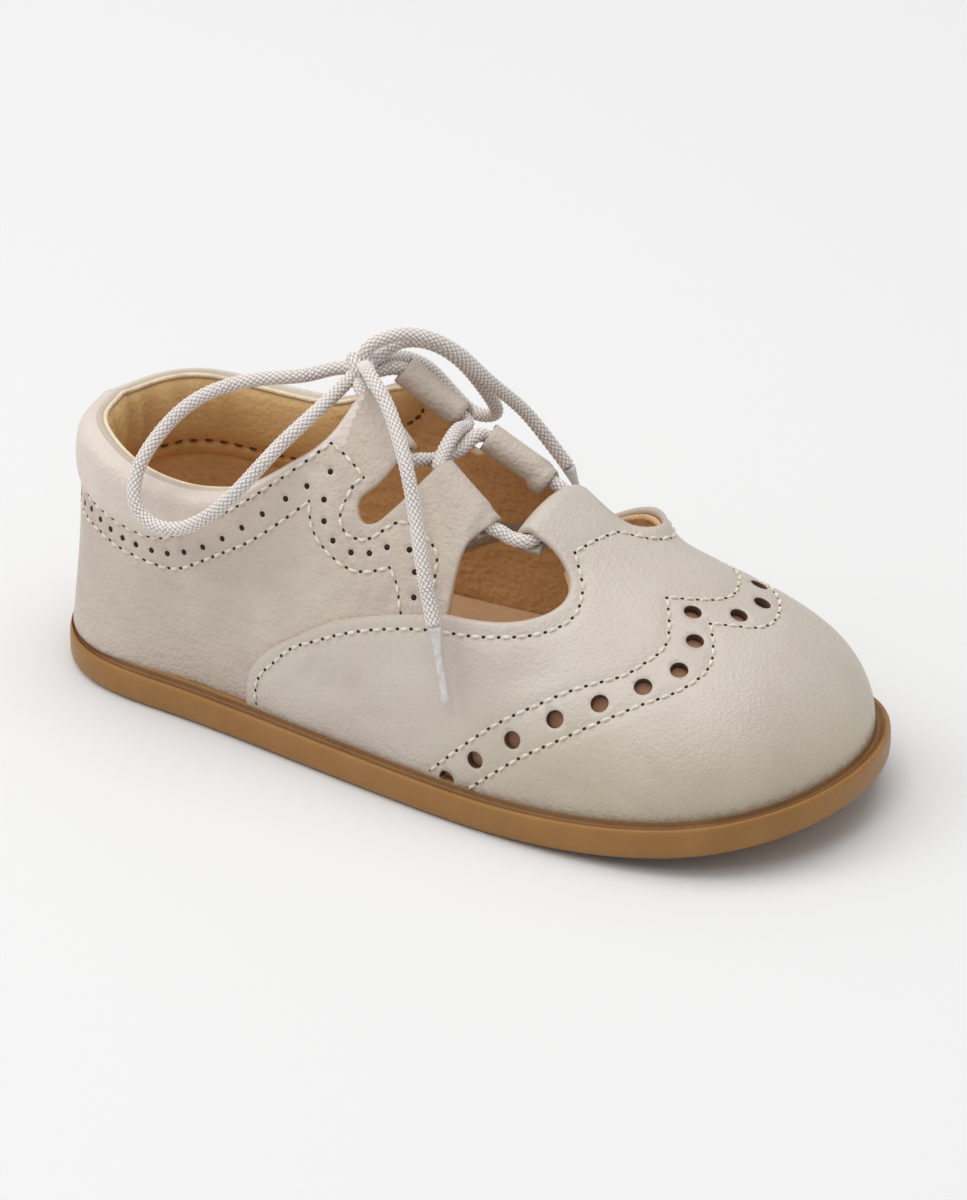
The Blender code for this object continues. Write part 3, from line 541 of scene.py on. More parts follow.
END_MEDIAL = (
    (45.8, 0.4, 56.4), (47.6, 2.0, 57.8), (50.0, 4.0, 58.3), (53.2, 6.2, 57.4), (56.0, 8.8, 54.8),
    (58.0, 12.6, 50.0), (59.4, 17.2, 45.1), (60.6, 20.6, 41.2), (62.4, 22.6, 37.4), (65.6, 24.3, 32.2),
)
AGLET_MEDIAL = ((65.75, 24.4, 31.8), (67.4, 25.3, 26.8), (68.8, 25.9, 21.4))
TAB_LACE_DEPTH, CENTRE_LACE_DEPTH = 2.12, 1.42
CROSSING_RISE, FRONT_SAG, INTO_KNOT = 1.3, 0.25, 0.55
KNOT_SIDE = np.array((0.9, 1.9, -1.3))
TURN_ON, TURN_AIM = (0.0, 0.25), (0.3, 1.3)
EXIT_KNOT, EXIT_TOP, EXIT_MID, EXIT_FRONT, EXIT_CENTRE = 0.3, 1.2, 0.45, 0.35, 0.3
STRAND_SHARES = np.array((0.25, 0.5, 0.75))


def fold_frame(name):
    """A tab's fold on the last: its points, its outward direction and the way its leather runs on."""
    fold = FOLDS[name]
    points, normal = on_last(fold, 0.0)
    up = unit(normal.mean(0))
    onward = unit(np.cross(up, points[-1] - points[0]))
    throat = np.array((-1.0, 0, 0)) if name == "centre" else np.array((0, -np.sign(fold[0, 1]), 0))
    return points, up, onward * np.sign(onward @ throat)


def tunnel_axis(name):
    """The lace's line through a tunnel: the fold, sunk by the lace's depth."""
    points, up, _ = fold_frame(name)
    return points - up * (CENTRE_LACE_DEPTH if name == "centre" else TAB_LACE_DEPTH)


def turned_out(axis, end, reach, towards):
    """Two points where the lace comes out of a tunnel and turns towards a place."""
    inner, outer = (axis[1], axis[0]) if end == 0 else (axis[-2], axis[-1])
    way, aim = unit(outer - inner), unit(towards - outer)
    return [outer + (reach + on) * way + turn * aim for on, turn in zip(TURN_ON, TURN_AIM)]


def strand(start, end, rise):
    """A taut strand between two places, bowed up by a rise at its middle."""
    bow = 4 * STRAND_SHARES * (1 - STRAND_SHARES) * rise
    return list(start + STRAND_SHARES[:, None] * (end - start) + bow[:, None] * np.array((0, 0, 1)))


def between_tunnels(first, first_end, first_reach, second, second_end, second_reach, rise):
    """The lace from one tunnel's end to the next tunnel's end."""
    ends = (first[-first_end], second[-second_end])
    leave = turned_out(first, first_end, first_reach, ends[1])
    arrive = turned_out(second, second_end, second_reach, ends[0])
    return leave + strand(leave[1], arrive[1], rise) + arrive[::-1]


def laced_route():
    """From the knot down one side, through the centre tab and up the other side to the knot."""
    axes = {name: tunnel_axis(name) for name in FOLDS}
    centre = axes["centre"]
    halves = []
    for top, mid, side in (("top_lateral", "mid_medial", LATERAL), ("top_medial", "mid_lateral", MEDIAL)):
        top_axis, mid_axis = axes[top], axes[mid]
        over = CROSSING_RISE if side == MEDIAL else -CROSSING_RISE
        knot_side = KNOT + KNOT_SIDE * (1, side, 1)
        centre_end = 1 if side == LATERAL else 0
        halves.append([knot_side, *turned_out(top_axis, 0, EXIT_KNOT, knot_side)[::-1],
                       *top_axis[[0, len(top_axis) // 2, -1]],
                       *between_tunnels(top_axis, 1, EXIT_TOP, mid_axis, 0, EXIT_MID, over),
                       *mid_axis[[0, len(mid_axis) // 2, -1]],
                       *between_tunnels(mid_axis, 1, EXIT_FRONT, centre, centre_end, EXIT_CENTRE,
                                        -FRONT_SAG)])
    through = [centre[-1], centre[len(centre) // 2], centre[0]]
    return np.array(halves[0] + through + halves[1][::-1])


def into_knot(route, ends):
    """A route whose ends at the knot run on part of the way to its middle."""
    rows = [np.array(row) for row in route]
    rows = [rows[0] + INTO_KNOT * (KNOT - rows[0])] + rows
    return rows + [rows[-1] + INTO_KNOT * (KNOT - rows[-1])] if ends == 2 else rows


print("laced route:", len(laced_route()), "points through", len(FOLDS), "tunnels")

# %% [markdown]
# The lace's finish is a pale grey-beige cotton. The braid's height, kept on its points, paints shade into
# the gaps between strands, so no picture of a weave is needed. The tips are milky plastic, clouded
# by a noise.


# %% Finishes of the lace
def link(material, source, target):
    """A link between two sockets of a material's nodes."""
    material.node_tree.links.new(source, target)


def ramp_between(material, factor, low, high, at):
    """A colour that runs from low to high as a factor goes between two places."""
    node = material.node_tree.nodes.new("ShaderNodeValToRGB")
    for element, place, colour in zip(node.color_ramp.elements, at, (low, high)):
        element.position = place
        element.color = (*colour, 1)
    link(material, factor, node.inputs["Fac"])
    return node.outputs["Color"]


lace_cotton, shader = new_material("lace_cotton")
height = lace_cotton.node_tree.nodes.new("ShaderNodeAttribute")
height.attribute_name = "braid"
# painted shade: the ramp's dark end darkens the low gaps between the strands
strands = ramp_between(lace_cotton, height.outputs["Fac"], (0.21, 0.180, 0.160), (0.89, 0.82, 0.775),
                       (0.0, 0.74))
link(lace_cotton, strands, shader.inputs["Base Color"])
shader.inputs["Roughness"].default_value = 0.75
shader.inputs["Sheen Weight"].default_value = 0.15

tip_plastic, shader = new_material("tip_plastic")
cloud = tip_plastic.node_tree.nodes.new("ShaderNodeTexNoise")
cloud.inputs["Scale"].default_value = 600.0
place = tip_plastic.node_tree.nodes.new("ShaderNodeTexCoord")
link(tip_plastic, place.outputs["Object"], cloud.inputs["Vector"])
milk = ramp_between(tip_plastic, cloud.outputs["Fac"], (0.50, 0.47, 0.45), (0.74, 0.71, 0.69), (0.35, 0.65))
link(tip_plastic, milk, shader.inputs["Base Color"])
shader.inputs["Roughness"].default_value = 0.35
print("lace finishes:", lace_cotton.name, "and", tip_plastic.name)

# %% [markdown]
# The laced part is one long braid. Each loop and tail of the bow is a braid of its own. A tail's tip is a
# slim tube: as thick as the braid where it starts, soon narrow, and rounded at its end.

# %% Make the lace
points, groups, values, path = braided(laced_route())
add_piece("lace_laced", points, groups, [lace_cotton], "lace_braid", ["lace_crossings"], values)
print("laced part:", round(lengths_along(path)[-1], 1), "mm")

BOW = (
    # piece, solid, route, and the solid of its tip and the tip's route
    ("lace_loop_near", "lace_loop_lateral", LOOP_LATERAL, None, None),
    ("lace_loop_far", "lace_loop_medial", LOOP_MEDIAL, None, None),
    ("lace_tail_near", "lace_end_lateral", END_LATERAL, "aglet_lateral", AGLET_LATERAL),
    ("lace_tail_far", "lace_end_medial", END_MEDIAL, "aglet_medial", AGLET_MEDIAL),
)
TIP_RADIUS, TIP_STEP = 0.55, 0.5
TIP_START, TIP_NARROWS, TIP_ROUNDS, TIP_LEAST, TIP_NECK = 1.9, 3.6, 12, 0.3, 0.9


def tip_radius(share):
    """Radius along a tip: the larger of a short cone at its start and a slim rod, both rounded at the end."""
    end = (1 - share) * TIP_ROUNDS
    cone = np.clip(np.minimum(end, TIP_START - TIP_NARROWS * share), TIP_LEAST, TIP_START)
    rod = np.clip(end, TIP_LEAST, TIP_NECK + (1 - TIP_NECK) * share)
    return TIP_RADIUS * np.maximum(cone, rod)


for piece_name, solid, route, tip_solid, tip_route in BOW:
    points, groups, values, path = braided(into_knot(route, 1 if tip_route else 2))
    cord = add_piece(piece_name, points, groups, [lace_cotton], "lace_braid", [solid], values)
    tips = []
    if tip_route:
        tip_path = smooth_run(tip_route, TIP_STEP)
        along = lengths_along(tip_path)
        tip = tube(tip_path, tip_radius(along / along[-1])[:, None])
        tips = [add_piece(piece_name + "_tip", *tip, [tip_plastic], "aglet_plastic", [tip_solid])]

# %% [markdown]
# The knot is one strand wound round the bow's middle, so it is the same braid along a short helix whose
# axis joins the two loops. A straight piece along the axis fills it.

# %% Knot
KNOT_AXIS = np.array((0.55, 0.83, 0.06))
KNOT_TURNS, KNOT_RADIUS, KNOT_PITCH = 1.55, 1.55, 1.7
KNOT_START, KNOT_STEPS, CORE_HALF, CORE_STEPS = -0.8, 24, 2.2, 6
axis = unit(KNOT_AXIS)
upward = unit(np.array((0.0, 0.0, 1.0)) - axis * axis[2])
sideways = np.cross(axis, upward)
turn = np.linspace(KNOT_START, 2 * np.pi * KNOT_TURNS + KNOT_START, KNOT_STEPS)
coil = KNOT + KNOT_RADIUS * (np.sin(turn)[:, None] * upward + np.cos(turn)[:, None] * sideways)
coil = coil + axis * (KNOT_PITCH * (turn / (2 * np.pi) - KNOT_TURNS / 2))[:, None]
wrap = braided(coil)
core = braided(KNOT + axis * np.linspace(-CORE_HALF, CORE_HALF, CORE_STEPS)[:, None])
values = {"braid": np.concatenate([wrap[2]["braid"], core[2]["braid"]])}
add_piece("lace_knot_wrap", *joined([wrap[:2], core[:2]]), [lace_cotton], "lace_braid", ["lace_knot"], values)

# %% [markdown]
# Leather panels are cut out of the pattern. A regular grid can't follow curved cut edges and round holes,
# so the pattern is filled with evenly spread points, and a Delaunay triangulation joins them to the edges,
# the holes and the seam lines. Every point is then lifted onto the last by its formula, with the panel's
# own height off it.

# %% Cutting a panel from the pattern
EDGE_CLEAR, SAME_PLACE = 0.5, 1e-7


def inside(points, outline):
    """Which points lie inside a closed outline: those from which a ray crosses it an odd number of times."""
    start, end = outline, np.roll(outline, -1, axis=0)
    px, py = points[:, :1], points[:, 1:]
    crosses = (start[:, 1] > py) != (end[:, 1] > py)
    rise = np.where(end[:, 1] == start[:, 1], TINY, end[:, 1] - start[:, 1])
    crossing = start[:, 0] + (py - start[:, 1]) / rise * (end[:, 0] - start[:, 0])
    return (crosses & (px < crossing)).sum(1) % 2 == 1


def distance_to_run(points, run, block=3000):
    """Distance from each point to a line of short straight pieces, a block of points at a time."""
    a, d = run[:-1][None], (run[1:] - run[:-1])[None]
    found = []
    for start in range(0, len(points), block):
        q = points[start : start + block, None] - a
        along = np.clip((q * d).sum(2) / np.maximum((d * d).sum(2), TINY), 0, 1)
        found.append(np.linalg.norm(q - along[..., None] * d, axis=2).min(1))
    return np.concatenate(found)


def beside(run, distance):
    """A line beside a run, at an even distance to its left."""
    way = unit(np.gradient(run, axis=0))
    return run + distance * np.stack([-way[:, 1], way[:, 0]], 1)


def cut_pattern(outline, holes, lines, spacing):
    """Triangles over a panel: its outline and holes, lines to follow, and evenly spread points between."""
    rings = [outline, *holes]
    edges, start = [], 0
    for ring in rings:
        number = start + np.arange(len(ring))
        edges += np.stack([number, np.roll(number, -1)], 1).tolist()
        start += len(ring)
    for line in lines:
        number = start + np.arange(len(line))
        edges += np.stack([number[:-1], number[1:]], 1).tolist()
        start += len(line)
    low, high = outline.min(0), outline.max(0)
    columns, rows = np.meshgrid(np.arange(low[0], high[0], spacing),
                                np.arange(low[1], high[1], spacing * math.sqrt(3) / 2))
    columns = columns + (np.arange(len(columns))[:, None] % 2) * spacing / 2
    spread = np.stack([columns.ravel(), rows.ravel()], 1)
    spread = spread[inside(spread, outline)]
    closed = [np.vstack([ring, ring[:1]]) for ring in rings]
    clear = np.min([distance_to_run(spread, run) for run in closed + list(lines)], axis=0)
    flat = np.vstack([*rings, *lines, spread[clear > spacing * EDGE_CLEAR]])
    result = delaunay_2d_cdt([Vector(place) for place in flat], edges, [], 0, SAME_PLACE)
    flat, faces = np.array([tuple(place) for place in result[0]]), np.array(result[2])
    a, b, c = flat[faces[:, 0]], flat[faces[:, 1]], flat[faces[:, 2]]
    turned = np.cross(b - a, c - a) < 0
    faces[turned] = faces[turned][:, ::-1]
    keep = inside((a + b + c) / 3, outline)
    for hole in holes:
        keep &= ~inside((a + b + c) / 3, hole)
    return flat, faces[keep]


def find_places(flat, wanted):
    """Numbers of the places that lie on the wanted ones."""
    return np.array([int(np.argmin(((flat - place) ** 2).sum(1))) for place in wanted])


# %% [markdown]
# A cut panel becomes a closed wall: its outer face, its flesh side below, and a rounded rim round every cut
# edge. The rim is half an ellipse from one face to the other, pushed out across the edge.

# %% From a cut panel to a wall
RIM_STEPS = 4
RIM_BULGE = 0.28
HOLE_BULGE = 0.06
AT_HEEL = 1e-6


def face_edges(faces):
    """The three directed edges of every triangle."""
    return np.concatenate([faces[:, [0, 1]], faces[:, [1, 2]], faces[:, [2, 0]]])


def make_wall(flat, faces, outer, inner, open_edges=(), punched=()):
    """Points and groups of faces (outer 0, rim 1, flesh side 2) of a wall.

    Open edges and the fold at the heel's back get no rim. Rims of punched holes (3), given as rings on the
    pattern, stay almost straight, and their nearly black finish is painted shade inside the hole.
    """
    skin, normal = on_last(flat, outer)
    count = len(flat)
    flesh, _ = on_last(flat, inner)
    pairs = face_edges(faces)
    key = pairs[:, 0] * count + pairs[:, 1]
    rim = pairs[~np.isin(pairs[:, 1] * count + pairs[:, 0], key)]
    way = skin[rim[:, 1]] - skin[rim[:, 0]]
    along = np.zeros((count, 3))
    np.add.at(along, rim[:, 0], way)
    np.add.at(along, rim[:, 1], way)
    out = unit(np.cross(along, normal))
    middle, half = (skin + flesh) / 2, (skin - flesh) / 2
    thick = np.linalg.norm(half, axis=1, keepdims=True)
    turn = np.pi * np.arange(1, RIM_STEPS) / RIM_STEPS
    bulge = np.full((count, 1), RIM_BULGE)
    hole = np.zeros(count, bool)
    if len(punched):
        hole[find_places(flat, np.vstack(punched))] = True
        bulge[hole] = HOLE_BULGE
    steps = [middle + half * math.cos(a) + out * thick * 2 * bulge * math.sin(a) for a in turn]
    levels = [np.arange(count)] + [(2 + k) * count + np.arange(count) for k in range(len(steps))]
    levels.append(count + np.arange(count))
    heel = np.abs(flat[:, 0]) < AT_HEEL
    shut = ~(heel[rim[:, 0]] & heel[rim[:, 1]])
    if len(open_edges):
        shut &= ~np.isin(rim[:, 0] * count + rim[:, 1], open_edges[:, 0] * count + open_edges[:, 1])
    groups = [(faces, 0), (faces[:, ::-1] + count, 2)]
    for chosen, finish in ((shut & ~hole[rim[:, 0]], 1), (shut & hole[rim[:, 0]], 3)):
        a, b = rim[chosen].T
        rims = [np.stack([high[b], high[a], low[a], low[b]], 1) for high, low in zip(levels[:-1], levels[1:])]
        groups.append((np.concatenate(rims), finish))
    return np.vstack([skin, flesh, *steps]), groups


# %% [markdown]
# Seams are drawn on the pattern as the photograph shows them. The wing has two rows of stitches with
# punched holes between. The vamp's rear edge has one row, which runs on along the front opening and across
# the centre tab. A band with two rows and pinholes follows the collar, turns down beside the slot and ends
# at the vamp.

# %% Seam lines on the pattern
SEAM_SPACING = 0.5
# rows of x and length up the wall; for the wing, x and length from its own middle
VAMP_EDGE = ((37.8, 0.0), (38.0, 3.6), (41.2, 9.4), (45.9, 13.2), (53.4, 18.2), (61.9, 21.6))
WING_MIDDLE, WING_SKEW = -1.8, 1.0
WING_HOLES = ((101.7, 0.0), (105.7, 4.7), (106.3, 10.6), (103.0, 15.8), (98.2, 21.2), (92.6, 26.6),
              (86.8, 33.1), (81.0, 40.0), (76.0, 46.8))
WING_REAR = ((97.4, 0.0), (100.2, 3.1), (101.9, 5.6), (102.6, 7.7), (102.4, 10.0), (101.4, 12.5),
             (100.3, 14.8), (96.9, 18.5), (93.1, 22.2), (89.5, 26.2), (85.7, 30.4), (81.3, 35.9),
             (75.4, 44.2), (72.8, 48.0))
WING_FRONT = ((104.6, 0.0), (107.9, 3.6), (109.1, 5.6), (109.5, 8.1), (109.0, 10.7), (108.0, 13.0),
              (106.8, 14.9), (104.2, 17.9), (101.2, 21.3), (97.6, 25.1), (93.9, 29.0), (89.2, 33.9),
              (84.3, 39.8), (79.4, 46.2))
VAMP_SEAM = ((39.4, 0.6), (39.4, 3.3), (42.7, 8.5), (46.6, 12.4), (50.3, 14.5), (53.1, 16.1), (57.5, 18.2),
             (60.0, 19.2), (65.0, 20.8), (68.7, 21.7), (71.9, 22.2))
FRONT_SEAM = {
    LATERAL: ((75.8, 22.7), (80.9, 23.9), (85.0, 25.5), (87.5, 27.6), (88.5, 29.8), (88.2, 32.8), (87.6, 34.6),
              (86.6, 36.4), (85.2, 38.4), (83.9, 40.2)),
    MEDIAL: ((76.2, 22.6), (82.4, 24.9), (87.0, 27.6), (89.4, 29.4), (90.4, 31.4), (90.2, 33.6), (89.6, 35.0),
             (88.6, 36.6), (87.2, 38.4), (85.9, 40.2)),
}
BAND_LOW = ((-2.0, 19.9), (3.3, 19.6), (7.0, 19.4), (9.8, 18.9), (13.4, 18.0), (16.5, 17.6), (20.5, 17.3),
            (23.9, 17.7), (27.2, 19.4), (33.2, 23.3), (36.5, 25.5), (40.0, 28.4), (43.6, 31.8), (46.6, 34.9))
BAND_TURN = ((46.6, 34.9), (46.9, 33.1), (47.8, 30.8), (50.6, 28.3), (54.0, 26.9), (57.5, 27.2), (61.0, 28.9))
BAND_FOOT = ((61.0, 28.9), (62.4, 27.1), (63.2, 25.3), (64.1, 22.9))
BAND_HIGH = ((-2.0, 23.8), (4.0, 23.4), (9.2, 22.7), (13.0, 22.0), (17.0, 21.5), (20.0, 21.6), (22.6, 22.5),
             (25.7, 24.2), (30.6, 27.8), (34.5, 30.8), (38.9, 34.6), (43.0, 38.5), (46.6, 42.4), (48.0, 44.1))
BAND_TAB = ((48.0, 44.1), (50.0, 43.1), (52.0, 41.9), (54.0, 40.5))
BAND_SLOT = ((54.0, 40.5), (52.9, 39.2), (52.2, 37.1), (51.7, 35.2), (51.9, 33.5), (52.8, 32.0), (54.3, 31.5),
             (55.7, 31.5), (57.5, 32.5), (59.0, 34.1), (60.9, 35.7), (62.4, 35.9))
BAND_MID = ((62.4, 35.9), (64.4, 35.2), (66.2, 34.1), (67.4, 32.8), (67.9, 30.9), (68.2, 29.0), (68.4, 26.9),
            (68.4, 24.9))


def wing_line(rows, side):
    """A wing row on one side: x and length from the W's own middle, which lies off the shoe's middle."""
    rows = np.asarray(rows, float)
    skew = WING_SKEW * side * np.clip(rows[:, 1] / WING_HOLES[1][1], 0, 1)
    return pattern_from_middle(np.stack([rows[:, 0] + skew, rows[:, 1] + side * WING_MIDDLE], 1), side)


def vamp_rear(side):
    """The vamp's rear edge from the sole up to the corner of the front opening."""
    return smooth_run(np.vstack([pattern_from_up(VAMP_EDGE, side), EDGES[side]["low"][:1]]), EDGE_SPACING)


VAMP_REAR = {side: vamp_rear(side) for side in (LATERAL, MEDIAL)}
seams = {"vamp": [], "quarter": []}
tab_corners = []
for side in (LATERAL, MEDIAL):
    seams["vamp"].append(smooth_run(pattern_from_up(VAMP_SEAM + FRONT_SEAM[side], side), SEAM_SPACING))
    tab_corners.append(seams["vamp"][-1][-1])
    for rows in (WING_REAR, WING_FRONT):
        seams["vamp"].append(smooth_run(wing_line(rows, side), SEAM_SPACING))
    for rows in (BAND_LOW, BAND_TURN, BAND_FOOT, BAND_HIGH, BAND_TAB, BAND_SLOT, BAND_MID):
        seams["quarter"].append(smooth_run(pattern_from_up(rows, side), SEAM_SPACING))
seams["vamp"].append(smooth_run(tab_corners, SEAM_SPACING))
seam_length = sum(lengths_along(run)[-1] for runs in seams.values() for run in runs)
print("seams:", round(seam_length), "mm in all")

# %% [markdown]
# A panel isn't as smooth as the last. Stitches pull it in along the seams, the foam under the collar swells
# it, the lace lifts the tabs, and wear leaves creases. Each of these is a height added to the panel at its
# own place on the pattern: a bell across a seam or a crease, a round shoulder at the collar's edge. The
# creases are listed one by one. One of them is a ridge instead, the raised rim of the inner side's front
# opening.

# %% Height of the panels off the last
VAMP_LEATHER, QUARTER_LEATHER, VAMP_STEP = 1.2, 1.1, 0.7
TAB_WALL, TAB_REACH, TUNNEL_RADIUS = 0.9, 9.0, 1.75
SEAM_DEPTH, SEAM_HALF = 0.26, 0.75
ROLL_BULGE, ROLL_SHAPE, ROLL_FULL, ROLL_MOST, ROLL_LEAST = 0.80, 0.8, 9.0, 1.1, 1.2
ROLL_ROUND, ROUND_SHARE, ROUND_BASE, ROLL_FADE = 2.0, 0.32, 0.5, 5.0
HEEL_FLARE, FLARE_POWER, FLARE_UP, FLARE_FROM, FLARE_OVER = 1.1, 1.4, 17.0, 44.0, 26.0
SIDE_TABS = ("top_lateral", "mid_lateral", "top_medial", "mid_medial")
CREASE_BOW = 0.02
CREASES = (
    # panel, side, x, up, angle in degrees on the pattern, length, half width, depth
    ("quarter", LATERAL, 47.5, 40.0, 42, 9.0, 0.8, 0.44),
    ("quarter", LATERAL, 50.2, 38.4, 52, 8.0, 0.7, 0.37),
    ("quarter", LATERAL, 52.4, 36.6, 60, 6.0, 0.7, 0.27),
    ("quarter", LATERAL, 44.2, 36.4, 38, 8.0, 0.9, 0.27),
    ("quarter", LATERAL, 61.5, 23.5, 62, 9.0, 0.9, 0.44),
    ("quarter", LATERAL, 58.0, 22.0, 66, 10.0, 1.0, 0.37),
    ("quarter", LATERAL, 54.2, 21.6, 60, 10.0, 1.1, 0.37),
    ("quarter", LATERAL, 49.8, 22.8, 52, 10.0, 1.2, 0.34),
    ("quarter", LATERAL, 46.0, 24.4, 44, 9.0, 1.1, 0.31),
    ("quarter", LATERAL, 65.4, 31.0, 78, 6.0, 0.8, 0.31),
    ("quarter", LATERAL, 70.0, 29.0, 84, 9.0, 0.8, 0.34),
    ("quarter", LATERAL, 40.0, 19.5, 36, 11.0, 1.4, 0.31),
    ("quarter", LATERAL, 33.0, 17.5, 28, 12.0, 1.7, 0.31),
    ("quarter", LATERAL, 24.0, 13.5, 16, 13.0, 2.0, 0.27),
    ("quarter", LATERAL, 12.0, 11.5, -8, 11.0, 1.8, 0.24),
    ("quarter", LATERAL, 31.0, 9.0, 40, 10.0, 1.6, 0.24),
    ("quarter", LATERAL, 26.0, 27.4, 12, 9.0, 1.2, 0.24),
    ("quarter", MEDIAL, 49.0, 39.0, -42, 9.0, 0.8, 0.41),
    ("quarter", MEDIAL, 59.5, 22.5, -62, 9.0, 0.9, 0.41),
    ("quarter", MEDIAL, 54.0, 21.5, -58, 10.0, 1.1, 0.34),
    ("quarter", MEDIAL, 36.0, 18.0, -28, 12.0, 1.6, 0.31),
    ("quarter", MEDIAL, 16.0, 12.0, 10, 12.0, 1.9, 0.27),
    ("vamp", LATERAL, 50.0, 9.5, 62, 8.0, 1.0, 0.34),
    ("vamp", LATERAL, 53.0, 8.5, 56, 10.0, 1.2, 0.37),
    ("vamp", LATERAL, 57.0, 9.0, 48, 10.0, 1.4, 0.31),
    ("vamp", LATERAL, 62.0, 6.0, 30, 9.0, 1.3, 0.27),
    ("vamp", LATERAL, 66.0, 15.5, 20, 12.0, 1.8, 0.24),
    ("vamp", LATERAL, 86.0, 19.0, 40, 12.0, 2.0, 0.24),
    ("vamp", LATERAL, 96.0, 4.5, 12, 10.0, 1.3, 0.27),
    ("vamp", LATERAL, 104.0, 3.8, -6, 9.0, 1.1, 0.27),
    ("vamp", LATERAL, 111.0, 4.6, -14, 8.0, 1.1, 0.24),
    ("vamp", MEDIAL, 58.0, 9.0, -52, 10.0, 1.3, 0.34),
    ("vamp", MEDIAL, 66.0, 14.0, -30, 12.0, 1.8, 0.27),
    ("rim", MEDIAL, 84.0, 27.8, 134, 23.0, 2.6, -2.7),
)


def crease_depth(panel, pattern):
    """Soft troughs across the leather: a bell across each crease, fading to nothing at its ends."""
    depth = np.zeros(len(pattern))
    for name, side, x, up, angle, length, half, deep in CREASES:
        if name != panel:
            continue
        place = pattern - pattern_from_up(((x, up),), side)
        c, s = math.cos(math.radians(angle)), math.sin(math.radians(angle))
        along, across = place[:, 0] * c + place[:, 1] * s, -place[:, 0] * s + place[:, 1] * c
        bow = across - CREASE_BOW * along**2
        depth += deep * np.exp(-((bow / half) ** 2)) * np.clip(1 - (2 * along / length) ** 2, 0, 1)
    return depth


def seam_depth(panel, pattern):
    """How far the stitches pull the leather in: a bell across the nearest seam."""
    near = np.min([distance_to_run(pattern, run) for run in seams[panel]], axis=0)
    return SEAM_DEPTH * np.exp(-((near / SEAM_HALF) ** 2))


def tab_ease(pattern, names):
    """From 0 on the panel to 1 at a tab's fold."""
    near = np.min([distance_to_run(pattern, FOLDS[name]) for name in names], axis=0)
    return eased(np.clip(1 - near / TAB_REACH, 0, 1))


def roll_width(p, side):
    """Height of the padded collar, from its edge down to the band's upper seam, and where that edge lies."""
    collar, high = EDGES[side]["collar"], pattern_from_up(BAND_HIGH, side)
    edge = np.interp(p, collar[:, 0], np.abs(collar[:, 1]))
    return np.clip(np.interp(p, high[:, 0], np.abs(high[:, 1])) - edge, ROLL_LEAST, None), edge


def roll_turn(p, side):
    """How far the collar's edge turns in: less where the roll is narrow, and nothing at its front end."""
    fade = np.clip((EDGES[side]["collar"][-1, 0] - p) / ROLL_FADE, 0, 1)
    return np.minimum(ROLL_ROUND, ROUND_SHARE * roll_width(p, side)[0] + ROUND_BASE), fade


def heel_flare(pattern):
    """How far the heel widens down to the sole: a power of the depth below the band, fading forwards."""
    sides = [np.interp(pattern[:, 0], P_TABLE, girth(T_TABLE, side)) for side in (LATERAL, MEDIAL)]
    up = np.where(pattern[:, 1] < 0, *sides) - np.abs(pattern[:, 1])
    fade = np.clip((FLARE_FROM - pattern[:, 0]) / FLARE_OVER, 0, 1)
    return HEEL_FLARE * np.clip(1 - up / FLARE_UP, 0, 1) ** FLARE_POWER * eased(fade)


def quarter_height(pattern):
    """Outer face of the quarter: heel, collar's padded roll, seams and creases, and the lift at the tabs."""
    side = np.where(pattern[:, 1] < 0, LATERAL, MEDIAL)
    height = heel_flare(pattern) - VAMP_STEP
    height = height - seam_depth("quarter", pattern) - crease_depth("quarter", pattern)
    for each in (LATERAL, MEDIAL):
        width, edge = roll_width(pattern[:, 0], each)
        below = np.abs(pattern[:, 1]) - edge
        share = np.clip(below / width, 0, 1)
        puff = ROLL_BULGE * np.clip(width / ROLL_FULL, 0, ROLL_MOST)
        puff = puff * np.clip(1 - (2 * share - 1) ** 2, 0, 1) ** ROLL_SHAPE
        rounding, fade = roll_turn(pattern[:, 0], each)
        short = np.clip(rounding - below, 0, rounding)
        dip = rounding - np.sqrt(np.maximum(rounding**2 - short**2, 0))
        height = height + np.where(side == each, fade * (puff - dip), 0)
    ease = tab_ease(pattern, SIDE_TABS)
    return height + ease * (TUNNEL_RADIUS + TAB_WALL / 2 - TAB_LACE_DEPTH - height), ease


def vamp_height(pattern):
    """Outer face of the vamp: the seams and creases, and the lift at the centre tab."""
    height = -seam_depth("vamp", pattern) - crease_depth("vamp", pattern) - crease_depth("rim", pattern)
    ease = tab_ease(pattern, ("centre",))
    return height + ease * (TUNNEL_RADIUS + TAB_WALL / 2 - CENTRE_LACE_DEPTH - height), ease


print("creases placed by hand:", len(CREASES))

# %% [markdown]
# Each tab ends in a tunnel: its leather runs on over the lace, round it and back underneath. That is a
# profile carried along the fold: an arc round the lace, then a straight tail that comes back under the tab.

# %% Rolled tabs
TUNNEL_ARC, TUNNEL_ARC_STEPS, TAIL_LENGTH, TAIL_STEPS = math.radians(222), 18, 1.2, 2
ON_FOLD = 1e-3
COLLAR_FINISH = 4


def tunnel_profile():
    """The tab's middle line across a fold, as (onward, up) from the fold, and its outward direction."""
    turn = np.linspace(0, TUNNEL_ARC, TUNNEL_ARC_STEPS + 1)[1:]
    arc = TUNNEL_RADIUS * np.stack([np.sin(turn), np.cos(turn) - 1], 1)
    arc_out = np.stack([np.sin(turn), np.cos(turn)], 1)
    way = np.array((math.cos(TUNNEL_ARC), -math.sin(TUNNEL_ARC)))
    tail = arc[-1] + way * np.linspace(0, TAIL_LENGTH, TAIL_STEPS + 1)[1:, None]
    return np.vstack([arc, tail]), np.vstack([arc_out, np.tile(arc_out[-1], (TAIL_STEPS, 1))])


